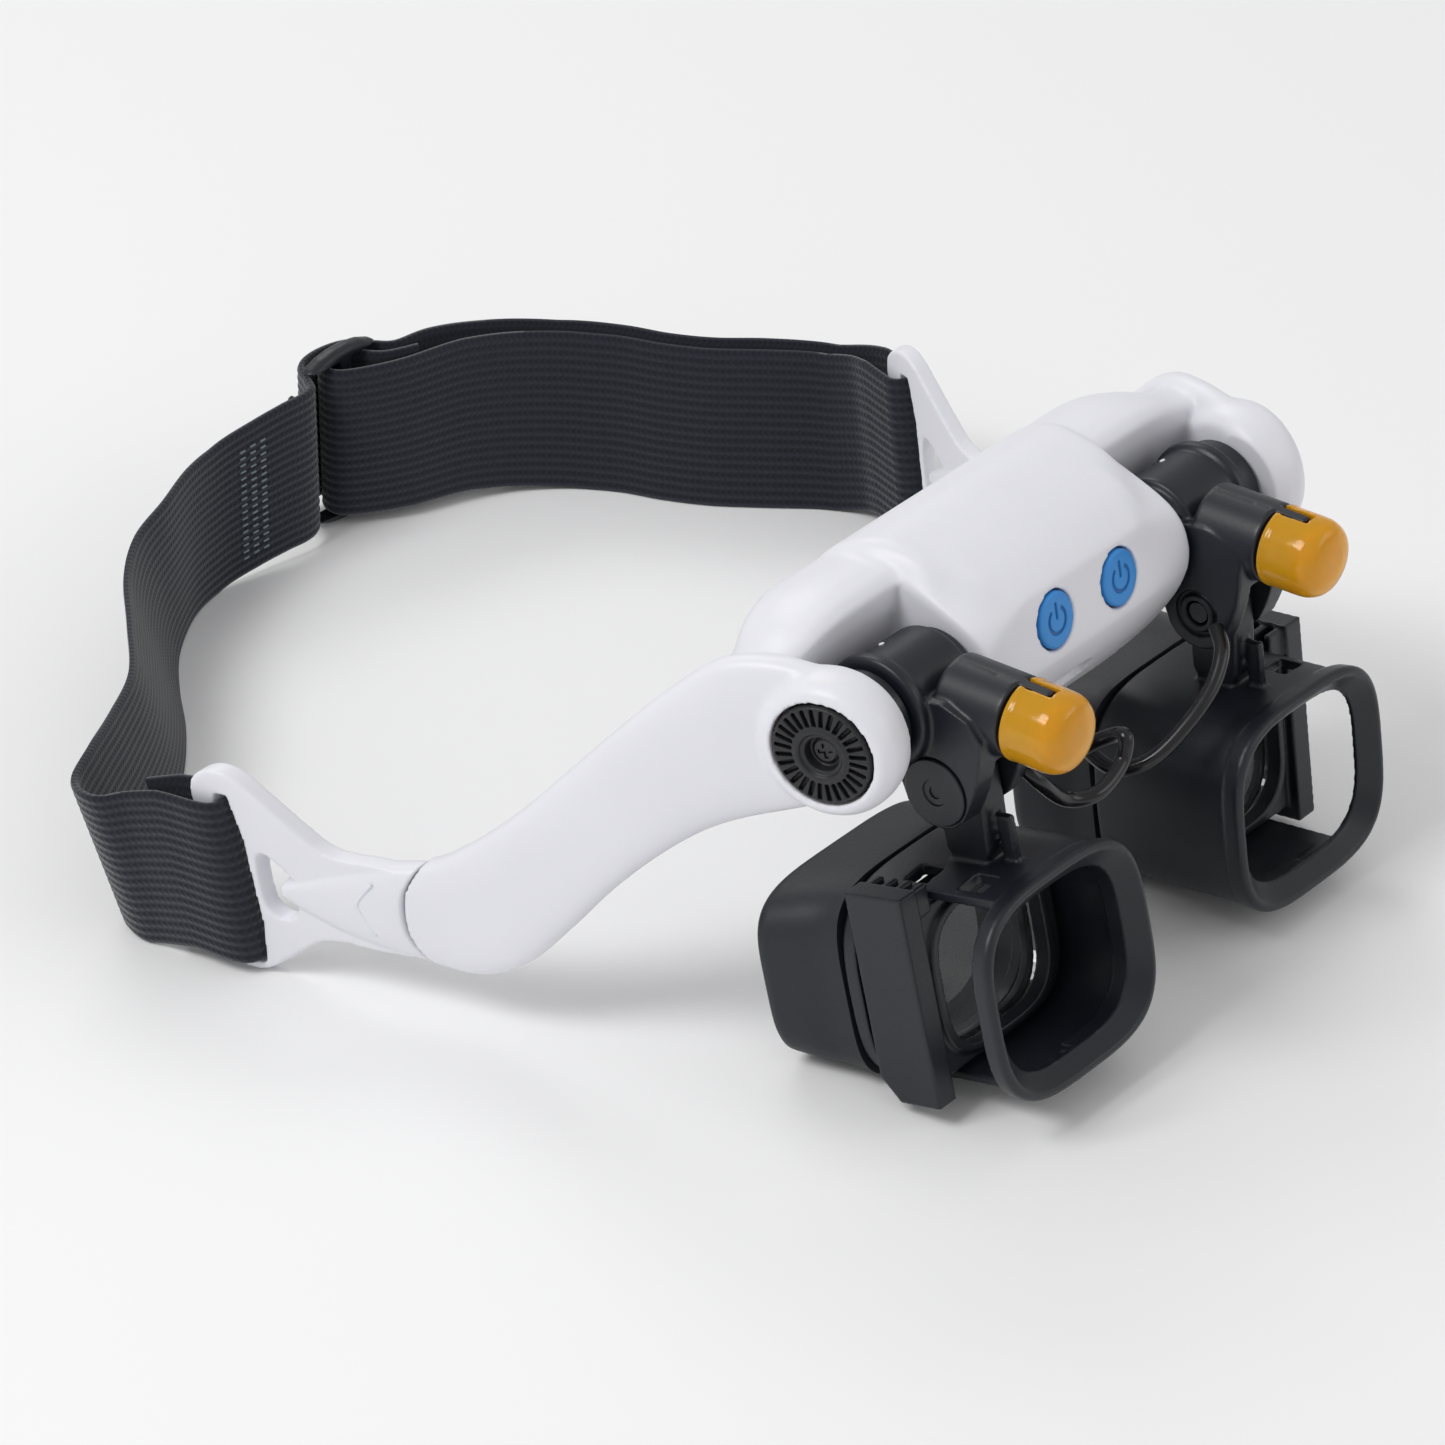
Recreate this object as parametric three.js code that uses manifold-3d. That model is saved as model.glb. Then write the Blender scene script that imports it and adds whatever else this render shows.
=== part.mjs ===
// Head visor magnifier: a white head frame with two hinged, lit magnifier tubes and an elastic head strap.
// Millimetres, +Z up. X runs from the wearer's right (-) to the left (+), the front faces -Y,
// and the object stands on the XY plane as it does when it is put down on a table.
import * as THREE from 'three';
import { mergeVertices } from 'three/addons/utils/BufferGeometryUtils.js';
import Module from 'manifold-3d';

const wasm = await Module();
wasm.setup();

// ---------------------------------------------------------------- driving dimensions
const CLEARANCE = 0.35;          // air between neighbouring pieces
const HINGE = { y: 25.4, z: 53.2 };   // flip hinge axis, along X
const PIVOT = { y: 16.5, z: 43.8 };   // tilt pivot axis, along X
const NOTCH = { inner: 22.4, outer: 40.9 };   // the hinge notch in the casing, |x| from and to
const EYE_X = 29.3;              // half the distance between the two eye tubes
const LAMP = { x: 28.7, y: 7.5, z: 55.6, radius: 5.65, rise: 1.5 };   // rim of the lamp tube, rise in degrees
const TILT = { right: 14, left: 8 };   // how far each eye tube leans back at rest, degrees
const DISC = { x: 45, toe: 12 };       // end disc of the frame: its middle, and its turn about Z in degrees
const FACE = { y: 18.33, z: 56.2, lean: 11.3 };   // middle of the button face, which leans back at its top, degrees
const ARM_FLARE = 0.3;           // sideways run of the strap hooks per millimetre of depth
const STRAP = { width: 25, thickness: 1.3, foot: 0.35 };
const SQUIRCLE = 3.4;            // power of the rounded-square outlines of the eye tubes
const CUP_POWER = 4.2;           // power of the squarer outlines of the eye cups
const CABLE_RADIUS = 1.1;

// ---------------------------------------------------------------- materials
const finish = (color, roughness, metalness = 0) =>
  new THREE.MeshStandardMaterial({ color, roughness, metalness });
const WHITE = finish(0xe9e8ee, 0.42);
const BLACK = finish(0x1b1d22, 0.5);
const SOFT_BLACK = finish(0x1d1f25, 0.62);
const BLUE = finish(0x2e86d6, 0.4);
const AMBER = finish(0xff9a12, 0.2);
const GLASS = finish(0xdfeaf2, 0.05);
const METAL = finish(0xb9bcc2, 0.3, 1);
const BOARD = finish(0x1f6b3a, 0.6);
const CELL = finish(0x9fa8b8, 0.45);
const LIGHT = finish(0xfff2b0, 0.3);
const WEBBING = finish(0x17191f, 0.85);

// ---------------------------------------------------------------- solids
// Turns the triangles over if the closed geometry is inside out, as a mirrored one is.
function outward(geometry) {
  const shell = geometry.index ? geometry : mergeVertices(geometry);
  const place = shell.attributes.position;
  const index = shell.index.array;
  const [a, b, c] = [new THREE.Vector3(), new THREE.Vector3(), new THREE.Vector3()];
  let volume = 0;
  for (let i = 0; i < index.length; i += 3) {
    a.fromBufferAttribute(place, index[i]);
    b.fromBufferAttribute(place, index[i + 1]);
    c.fromBufferAttribute(place, index[i + 2]);
    volume += a.dot(b.cross(c));
  }
  if (volume < 0) {
    for (let i = 0; i < index.length; i += 3) {
      [index[i], index[i + 1]] = [index[i + 1], index[i]];
    }
  }
  return shell;
}

function solid(geometry) {
  const bare = geometry.clone();
  bare.deleteAttribute('normal');
  bare.deleteAttribute('uv');
  const merged = outward(mergeVertices(bare, 1e-4));
  return new wasm.Manifold(new wasm.Mesh({
    numProp: 3,
    vertProperties: new Float32Array(merged.attributes.position.array),
    triVerts: new Uint32Array(merged.index.array),
  }));
}

function join(...geometries) {
  return geometries.map(solid).reduce((whole, next) => whole.add(next));
}

function cut(whole, ...geometries) {
  return geometries.map(solid).reduce((rest, next) => rest.subtract(next), whole);
}

function geometryOf(manifold) {
  const mesh = manifold.getMesh();
  const geometry = new THREE.BufferGeometry();
  geometry.setAttribute('position', new THREE.BufferAttribute(new Float32Array(mesh.vertProperties), 3));
  geometry.setIndex(new THREE.BufferAttribute(new Uint32Array(mesh.triVerts), 1));
  geometry.computeVertexNormals();
  return geometry;
}

// ---------------------------------------------------------------- shapes
function box(x0, x1, y0, y1, z0, z1) {
  const geometry = new THREE.BoxGeometry(Math.abs(x1 - x0), Math.abs(y1 - y0), Math.abs(z1 - z0));
  return geometry.translate((x0 + x1) / 2, (y0 + y1) / 2, (z0 + z1) / 2);
}

// A side outline of [y, z] points pushed along X from x0 to x1.
function prism(outline, x0, x1) {
  const shape = new THREE.Shape(outline.map(([y, z]) => new THREE.Vector2(y, z)));
  const geometry = new THREE.ExtrudeGeometry(shape, { depth: Math.abs(x1 - x0), bevelEnabled: false });
  const toSide = new THREE.Matrix4().makeBasis(
    new THREE.Vector3(0, 1, 0), new THREE.Vector3(0, 0, 1), new THREE.Vector3(1, 0, 0));
  return geometry.applyMatrix4(toSide).translate(Math.min(x0, x1), 0, 0);
}

// A profile of [radius, x] points turned about the X axis through (y, z).
function turned(profile, y, z, segments = 24) {
  const points = profile.map(([radius, x]) => new THREE.Vector2(radius, x));
  return new THREE.LatheGeometry(points, segments).rotateZ(-Math.PI / 2).translate(0, y, z);
}

function rod(radius, x0, x1, y, z, segments = 16) {
  const [low, high] = [Math.min(x0, x1), Math.max(x0, x1)];
  return turned([[0, low], [radius, low], [radius, high], [0, high]], y, z, segments);
}

// Rings of points joined into one closed body: capped at both ends, or looped back onto the first ring.
function loft(rings, looped = false) {
  const count = rings[0].length;
  const positions = rings.flat(2);
  const index = [];
  const pairs = looped ? rings.length : rings.length - 1;
  for (let r = 0; r < pairs; r += 1) {
    const [here, there] = [r * count, ((r + 1) % rings.length) * count];
    for (let i = 0; i < count; i += 1) {
      const next = (i + 1) % count;
      index.push(here + i, here + next, there + next, here + i, there + next, there + i);
    }
  }
  if (!looped) {
    for (const [ring, base, flip] of [[rings[0], 0, true], [rings.at(-1), (rings.length - 1) * count, false]]) {
      const centre = [0, 1, 2].map((axis) => ring.reduce((sum, point) => sum + point[axis], 0) / count);
      const hub = positions.length / 3;
      positions.push(...centre);
      for (let i = 0; i < count; i += 1) {
        const next = (i + 1) % count;
        index.push(...(flip ? [hub, base + next, base + i] : [hub, base + i, base + next]));
      }
    }
  }
  const geometry = new THREE.BufferGeometry();
  geometry.setAttribute('position', new THREE.Float32BufferAttribute(positions, 3));
  geometry.setIndex(index);
  return geometry;
}

// A rounded-square ring in the plane across Y, squarer the higher its power.
function squircle(centreX, y, centreZ, halfWidth, halfHeight, count = 28, power = SQUIRCLE) {
  return Array.from({ length: count }, (_, i) => {
    const angle = (2 * Math.PI * i) / count;
    const [c, s] = [Math.cos(angle), Math.sin(angle)];
    const x = halfWidth * Math.sign(c) * Math.abs(c) ** (2 / power);
    const z = halfHeight * Math.sign(s) * Math.abs(s) ** (2 / power);
    return [centreX + x, y, centreZ + z];
  });
}

function ellipsePrism(halfWidth, halfHeight, depth, segments = 12) {
  const shape = new THREE.Shape();
  shape.absellipse(0, 0, halfWidth, halfHeight, 0, 2 * Math.PI);
  const geometry = new THREE.ExtrudeGeometry(shape, { depth, bevelEnabled: false, curveSegments: segments });
  return geometry.rotateX(Math.PI / 2);
}

const group = new THREE.Group();
function part(name, shape, material, parent = group) {
  const geometry = shape instanceof THREE.BufferGeometry ? outward(shape) : geometryOf(shape);
  const mesh = new THREE.Mesh(geometry, material);
  mesh.name = name;
  parent.add(mesh);
  return mesh;
}

const blend = (a, b, t) => a + (b - a) * t;
const radians = THREE.MathUtils.degToRad;

// ---------------------------------------------------------------- white frame
// Side profile of the brow casing at its middle and at its ends, from the lower rear edge round the front.
const MIDDLE = [[33, 33.8], [29.5, 33.2], [25.1, 37.4], [21, 43], [18.9, 46.6], [17.5, 50.2], [17.5, 52],
  [18.3, 56], [19.2, 60.4], [20.4, 62], [25, 64.6], [32, 66.4], [40, 66.6], [46.5, 62.6], [48, 58], [44, 48]];
const ENDS = [[33, 33.8], [29.5, 33.2], [24.8, 38.4], [21.2, 43.3], [18.6, 47.8], [17.4, 51.2], [17.2, 53.6],
  [17.7, 56.2], [19.1, 58.5], [21.8, 60.4], [26.8, 62.2], [33.5, 63.6], [40, 64.8], [46.5, 62], [48, 57.6], [44, 48]];
const FLAT_HALF = 11;            // half-width of the flat button face

function browSection(x) {
  const side = Math.min(1, Math.max(0, (Math.abs(x) - FLAT_HALF) / (NOTCH.inner - FLAT_HALF)));
  const t = side * side * (3 - 2 * side);
  return MIDDLE.map(([y, z], i) => [x, blend(y, ENDS[i][0], t), blend(z, ENDS[i][1], t)]);
}

// Side profile of the bar behind each hinge notch, where it leaves the brow and where it meets the arm.
const BRIDGE = [[33.2, 63.4], [40, 64.8], [46.5, 62.2], [48, 57.6], [43.5, 47.4], [37, 44.2], [34, 47], [34.6, 53.2]];
const BRIDGE_END = [[33.2, 61.2], [38.6, 61.2], [43.2, 58.2], [44.4, 54], [41, 45], [36.6, 42.4], [33.4, 45],
  [33.6, 53.2]];
const BRIDGE_STOPS = [[21.4, 0], [32, 0], [38, 0.3], [42, 0.75], [46.4, 1]];   // |x| and share of the end profile

function bridge(side) {
  return loft(BRIDGE_STOPS.map(([x, t]) =>
    BRIDGE.map(([y, z], i) => [side * x, blend(y, BRIDGE_END[i][0], t), blend(z, BRIDGE_END[i][1], t)])));
}

// Top and bottom edge points of an arm, as [x, top y, top z, bottom y, bottom z], from the end disc backwards.
const ARM = [
  [45.2, 27, 63, 27, 43.1], [46.9, 33.5, 63.4, 31.5, 41.1], [49.4, 41, 61.6, 37, 38.8],
  [51.8, 47.5, 55.8, 41.8, 36], [54.8, 54, 48.4, 47, 31.4], [57.8, 60, 41, 52.3, 25.4],
  [60.4, 65, 34.8, 57.4, 18.4], [62.8, 69.5, 30, 62.7, 12], [64.6, 73.8, 26.2, 69, 8.4],
  [65.8, 77.2, 23.8, 75.2, 7.8],
];
const ARM_THICKNESS = 5.4;

function armRing([x, topY, topZ, bottomY, bottomZ], side, thickness, height = 1) {
  const count = 16;
  const middle = [side * x, (topY + bottomY) / 2, (topZ + bottomZ) / 2];
  const rise = [0, (topY - bottomY) / 2, (topZ - bottomZ) / 2];
  return Array.from({ length: count }, (_, i) => {
    const angle = (2 * Math.PI * i) / count;
    const [c, s] = [Math.cos(angle), Math.sin(angle)];
    const across = 0.5 * thickness * Math.sign(c) * Math.abs(c) ** 0.6;
    const up = height * Math.sign(s) * Math.abs(s) ** 0.6;
    return [middle[0] + side * across, middle[1] - 0.28 * across + up * rise[1], middle[2] + up * rise[2]];
  });
}

function discShape(profile, side) {
  const shape = turned(profile.map(([radius, x]) => [radius, x - DISC.x]), 0, 0, 32);
  if (side < 0) {
    shape.rotateZ(Math.PI);
  }
  return shape.rotateZ(-side * radians(DISC.toe)).translate(side * DISC.x, HINGE.y, HINGE.z);
}

// Cuts or pads set square to the leaning button face, moved to where they pierce it.
function onFace(geometry, x) {
  return geometry.rotateX(-radians(FACE.lean)).translate(x, FACE.y, FACE.z);
}

const BUTTON = { x: 7.1, halfWidth: 3.65, halfHeight: 4 };
const CAVITY = [[21.4, 53.5], [21.2, 57.6], [27, 61.2], [38, 63], [43, 60.6], [44.2, 56.6], [52, 54],
  [41, 34.5], [35.2, 40.6], [30.4, 38.4], [25.4, 45.6], [22.4, 49.6]];
const USB = { x: -0.5, y: 21.6, z: 42.8, lean: 36 };

function usbBlock(halfWidth, from, to, halfHeight) {
  const block = box(-halfWidth, halfWidth, from, to, -halfHeight, halfHeight);
  return block.rotateX(radians(USB.lean)).translate(USB.x, USB.y, USB.z);
}

function frontCasing() {
  const stations = [-NOTCH.inner, -19.5, -16.5, -13.5, -FLAT_HALF, 0, FLAT_HALF, 13.5, 16.5, 19.5, NOTCH.inner];
  const solids = [loft(stations.map(browSection))];
  for (const side of [-1, 1]) {
    solids.push(bridge(side));
    solids.push(discShape([[0, 40.9], [8.2, 41.1], [9.7, 42.4], [10.2, 44.9], [10, 47.4], [9.1, 49], [8.3, 49.5],
      [0, 49.5]], side));
    solids.push(loft(ARM.map((edge) => armRing(edge, side, ARM_THICKNESS))));
  }
  const holes = [prism(CAVITY, -17, 17), usbBlock(4.2, -4, 7, 1.9)];
  for (const side of [-1, 1]) {
    const hole = ellipsePrism(BUTTON.halfWidth + 0.3, BUTTON.halfHeight + 0.3, 8).translate(0, 5, 0);
    holes.push(onFace(hole, side * BUTTON.x));
    holes.push(rod(2.6, side * 18.2, side * (DISC.x + 0.5), HINGE.y, HINGE.z));
    holes.push(box(side * NOTCH.inner, side * NOTCH.outer, 8, 33.1, 30, 80));
    holes.push(discShape([[0, 46.5], [7.5, 46.5], [7.5, 52], [0, 52]], side));
  }
  return cut(join(...solids), ...holes);
}
part('front_casing', frontCasing(), WHITE);

// The rear cover closes the casing's back, between its upper and lower walls.
const COVER = [[43.9, 56.1], [46.6, 55.3], [37.7, 40.7], [36.2, 41.6]];

part('rear_cover', prism(COVER, -16.6, 16.6), WHITE);

const inner = new THREE.Group();
inner.position.set(0, 26, 53.6);
inner.rotation.x = -radians(FACE.lean);
group.add(inner);
part('circuit_board', box(-15, 15, -0.6, 0.6, -5, 4.2), BOARD, inner);
part('battery', box(-15, 15, 4, 10, -6.2, 6), CELL, inner);
part('usb_socket', cut(join(usbBlock(3.8, 0.6, 5, 1.45)), usbBlock(3.4, -1, 4.2, 1.05)), METAL);

for (const [name, side] of [['button_right', -1], ['button_left', 1]]) {
  const cap = ellipsePrism(BUTTON.halfWidth, BUTTON.halfHeight, 3).translate(0, 2.7, 0);
  part(name, onFace(cap, side * BUTTON.x), BLUE);
}

// ---------------------------------------------------------------- strap hooks
const HOOK_ORIGIN = { x: 67.1, y: 79 };
const HOOK = [[78, 21.8], [84, 21.9], [91.3, 21.2], [96, 24.4], [101, 28.2], [104.6, 30.9], [107.8, 31.4],
  [110.6, 29.6], [110.6, 26.2], [105.9, 3.6], [104.6, 1], [102.4, 0.35], [99.8, 0.9], [95.6, 4.8], [91.6, 8.2],
  [84, 8], [76.6, 8.4]];
const HOOK_SLOT = [[104.4, 27.6], [108.1, 27.6], [103.2, 1.8], [99.5, 1.8]];
const HOOK_WINDOW = [[101.6, 20.4], [96.9, 17.3], [95.2, 14.5], [95.9, 9.6], [100, 10], [101.2, 15]];
const TONGUE = [[66.9, 78.3, 22.6, 76.6, 8.6], [68.2, 83, 21.8, 82, 8.8], [70, 89.5, 19.6, 89, 9.6],
  [71.6, 95, 17, 94.8, 11.6], [72.5, 98.3, 15.2, 98.2, 13.4]];

function strapHook(side) {
  const plate = (outline, half) => {
    const geometry = prism(outline, -half, half);
    const shear = new THREE.Matrix4().set(
      1, ARM_FLARE, 0, HOOK_ORIGIN.x - ARM_FLARE * HOOK_ORIGIN.y, 0, 1, 0, 0, 0, 0, 1, 0, 0, 0, 0, 1);
    return geometry.applyMatrix4(shear).scale(side, 1, 1);
  };
  const frame = join(plate(HOOK, 1.5), loft(TONGUE.map((edge) => armRing(edge, side, 4.6))));
  const holes = cut(frame, plate(HOOK_SLOT, 4));
  const window = solid(plate(HOOK_WINDOW, 4)).subtract(solid(loft(TONGUE.map((edge) => armRing(edge, side, 5)))));
  const armEnd = loft(ARM.slice(-4).map((edge) => armRing(edge, side, ARM_THICKNESS + 1, 1.04)));
  return cut(holes.subtract(window), armEnd.translate(0, CLEARANCE, 0));
}

// ---------------------------------------------------------------- hinge, lamp and eye units
function turnedOnLamp(profile, side, segments = 20) {
  const points = profile.map(([radius, depth]) => new THREE.Vector2(radius, depth));
  const geometry = new THREE.LatheGeometry(points, segments);
  return geometry.rotateX(-radians(LAMP.rise)).translate(side * LAMP.x, LAMP.y, LAMP.z);
}

const BRACKET = [[9.6, 55.6], [9.6, 48.6], [10.7, 43.8], [12.4, 39.7], [16.5, 38], [20.6, 39.7], [22.3, 43.8],
  [24.6, 46.2], [25.4, 53.2], [18, 58]];
const CHEEK = { inner: 23, slotFrom: 25.8, slotTo: 31.4, outer: 35.3 };

function lampBracket(side) {
  const barrel = turned([[0, 22.8], [6.4, 22.8], [6.4, 24.4], [7.4, 24.9], [7.4, 35], [8.1, 35.4], [8.1, 36.9],
    [7.4, 37.2], [0, 37.2]], HINGE.y, HINGE.z, 28).scale(side, 1, 1);
  const tube = turnedOnLamp([[0, -4.6], [4.65, -4.6], [4.65, 0], [LAMP.radius, 0.3], [LAMP.radius, 10.4], [0, 10.4]],
    side, 24);
  const rib = box(side * (LAMP.x - 0.8), side * (LAMP.x + 0.8), 3, LAMP.y + 0.5, LAMP.z + 4, LAMP.z + 5.7);
  const block = prism(BRACKET, side * CHEEK.inner, side * CHEEK.outer);
  return cut(join(barrel, tube, rib, block),
    rod(2.6, side * 20, side * 39, HINGE.y, HINGE.z),
    box(side * CHEEK.slotFrom, side * CHEEK.slotTo, 6, 28, 30, 49.4),
    rod(1.85, side * 21, side * 37, PIVOT.y, PIVOT.z, 16),
    turnedOnLamp([[0, -9], [3.95, -9], [3.95, 3], [0, 3]], side, 20));
}

function lampCap(side) {
  const shell = turnedOnLamp([[5.65, -0.2], [5.65, -5.6], [5.3, -7.3], [4.3, -8.5], [2.3, -9.1], [0, -9.2],
    [0, -8.2], [2.1, -8.1], [3.7, -7.6], [4.6, -6.6], [4.95, -5.2], [4.95, -0.2], [5.65, -0.2]], side, 24);
  const slot = box(side * (LAMP.x - 1.15), side * (LAMP.x + 1.15), 2.4, LAMP.y + 3, LAMP.z + 3.8, LAMP.z + 8);
  return cut(join(shell), slot);
}

function ledHolder(side) {
  const profile = [[0, 2.4], [3.6, 2.4], [3.6, -6], [2.9, -6], [2.2, -3.6], [0, -3.6]];
  return turnedOnLamp(profile, side, 20);
}

// The eye tube's own frame has its origin at the pivot, so the heights below are under the pivot axis.
const TUBE = { centre: -27, halfWidth: 16.9, halfHeight: 14.7 };
const LENS_Y = 4.4;

function rounded(side, y0, y1, halfWidth, halfHeight) {
  const ring = (y) => squircle(side * EYE_X, y, TUBE.centre, halfWidth, halfHeight);
  return loft([ring(y0), ring(y1)]);
}

function eyeTube(side) {
  const x = side * EYE_X;
  const ear = prism([[-4, 0], [-2.8, 2.8], [0, 4], [2.8, 2.8], [4, 0], [4, -14], [-5, -14]], side * 26.2, side * 31);
  const rib = box(side * 28, side * 29.2, -6.4, -4, -14, -5.5);
  const shell = join(
    rounded(side, -9.6, 12.2, TUBE.halfWidth, TUBE.halfHeight),
    loft([squircle(x, -8.8, TUBE.centre, 15.6, 13.6), squircle(x, -10, TUBE.centre, 17, 15),
      squircle(x, -12.2, TUBE.centre, 17.2, 15.1), squircle(x, -12.9, TUBE.centre, 16.6, 14.5)]),
    ear, rib);
  const boss = new THREE.SphereGeometry(2.2, 16, 10).translate(side * 28.6, -4.2, -16.2);
  const hollow = join(
    rounded(side, -20, 20, 13.6, 11.7),
    rounded(side, -7.8, 9.9, 15.2, 13),
    box(x, side * 60, -10, 9.9, -39.8, -14.2),
    box(side * (EYE_X + 9.5), side * 60, -10, 9.9, -60, -8));
  const windows = [-4.6, 4.6].map((y) => box(side * 33.2, side * 37.4, y - 1.9, y + 1.9, -16, -10));
  return cut(shell.subtract(hollow).add(solid(boss)), rod(1.85, side * 20, side * 40, 0, 0, 16), ...windows);
}

function lensCartridge(side) {
  const x = side * EYE_X;
  const plate = prism([[-0.1, -41.6], [6.6, -41.6], [9.4, -38.2], [9.4, -10.8], [-0.1, -10.8]],
    side * 42.6, side * 46.3);
  const body = join(rounded(side, 1.4, 7.6, 14.5, 12.3), box(x, side * 43, 1.4, 7.6, -39.2, -14.8), plate);
  const ribs = [0.6, 3, 5.4, 7.8].map((y) => box(side * 40.2, side * 43, y, y + 1.1, -15.4, -11.4));
  return cut(join(geometryOf(body), ...ribs),
    rounded(side, -3, 12, 10.9, 10.2),
    rounded(side, LENS_Y - 1.4, LENS_Y + 1.4, 11.9, 11.2));
}

function lens(side) {
  const ring = (y, scale) => squircle(side * EYE_X, LENS_Y + y, TUBE.centre, 11.5 * scale, 10.8 * scale, 24);
  return loft([ring(-1.9, 0.2), ring(-1.6, 0.62), ring(-0.9, 1), ring(0.9, 1), ring(1.6, 0.62), ring(1.9, 0.2)]);
}

function eyeCup(side) {
  const ring = (y, centre, halfWidth, halfHeight) =>
    squircle(side * EYE_X, y, centre, halfWidth, halfHeight, 28, CUP_POWER);
  return loft([
    ring(12.6, -26.9, 17, 14.7), ring(16, -26.7, 17.3, 14.2), ring(20, -26.4, 18.4, 13.6),
    ring(23.6, -26.1, 19.3, 13), ring(24.8, -26, 19, 12.7), ring(25.2, -26, 18.3, 12.1),
    ring(23.6, -26.1, 17.7, 11.6), ring(20, -26.4, 17.1, 12), ring(16, -26.7, 16.4, 12.5),
    ring(12.6, -26.9, 15.4, 12.7),
  ], true);
}

for (const [hand, side] of [['right', -1], ['left', 1]]) {
  part(`strap_hook_${hand}`, strapHook(side), WHITE);
  part(`side_knob_${hand}`, cut(join(discShape([[0, 46.85], [7.15, 46.85], [7.15, 49.3], [6.8, 49.7], [0, 49.7]], side)),
    discShape([[0, 47.6], [1.9, 47.6], [1.9, 52], [0, 52]], side)), BLACK);
  part(`hinge_shaft_${hand}`, rod(2.2, side * 18.6, side * 45, HINGE.y, HINGE.z), METAL);
  part(`barrel_drum_${hand}`, cut(join(rod(6.7, side * 37.6, side * 40.55, HINGE.y, HINGE.z, 24)),
    rod(2.6, side * 36, side * 42, HINGE.y, HINGE.z)), BLACK);
  part(`lamp_bracket_${hand}`, lampBracket(side), BLACK);
  part(`pivot_cover_${hand}`, cut(join(rod(4.4, side * 35.65, side * 36.5, PIVOT.y, PIVOT.z)),
    rod(1, side * 34, side * 38, PIVOT.y, PIVOT.z, 12)), SOFT_BLACK);
  part(`pivot_pin_${hand}`, rod(1.5, side * 23.4, side * 35.1, PIVOT.y, PIVOT.z, 16), METAL);
  part(`led_holder_${hand}`, ledHolder(side), METAL);
  part(`led_${hand}`, turnedOnLamp([[0, -4], [1.8, -4], [1.8, -5], [1, -5.6], [0, -5.8]], side, 16), LIGHT);
  part(`lamp_cap_${hand}`, lampCap(side), AMBER);

  const eye = new THREE.Group();
  eye.position.set(0, PIVOT.y, PIVOT.z);
  eye.rotation.x = -radians(TILT[hand]);
  group.add(eye);
  part(`eye_tube_${hand}`, eyeTube(side), BLACK, eye);
  part(`lens_cartridge_${hand}`, lensCartridge(side), BLACK, eye);
  part(`lens_${hand}`, lens(side), GLASS, eye);
  part(`eye_cup_${hand}`, eyeCup(side), SOFT_BLACK, eye);
}

// ---------------------------------------------------------------- lamp cables
// Each cable runs from the underside of the casing, round a loose loop, to the inner side of its lamp bracket.
const CABLES = {
  right: [[-9, 26.2, 33.9], [-9, 23.2, 33.2], [-7.2, 17.5, 34.6], [-4.2, 12.2, 38.6], [-4.4, 8.4, 40.6],
    [-5.9, 7.7, 37.5], [-11.4, 7.3, 35.7], [-16, 9.3, 36.1], [-21.2, 10.2, 41.2], [-21.9, 13, 43.6]],
  left: [[4, 26.2, 34.9], [4, 23.6, 33], [3, 19.6, 30.4], [2.6, 14.5, 29.6], [5.2, 10.4, 31.6],
    [10.5, 8.4, 35.6], [15.6, 8.2, 39.2], [19.4, 9.6, 42.2], [21.9, 12.4, 43.6]],
};

function cable(points) {
  const path = new THREE.CatmullRomCurve3(points.map((point) => new THREE.Vector3(...point)));
  const section = new THREE.Shape();
  section.absarc(0, 0, CABLE_RADIUS, 0, 2 * Math.PI);
  return new THREE.ExtrudeGeometry(section, { steps: 22, curveSegments: 4, extrudePath: path });
}
part('lamp_cable_right', cable(CABLES.right), SOFT_BLACK);
part('lamp_cable_left', cable(CABLES.left), SOFT_BLACK);

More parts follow.
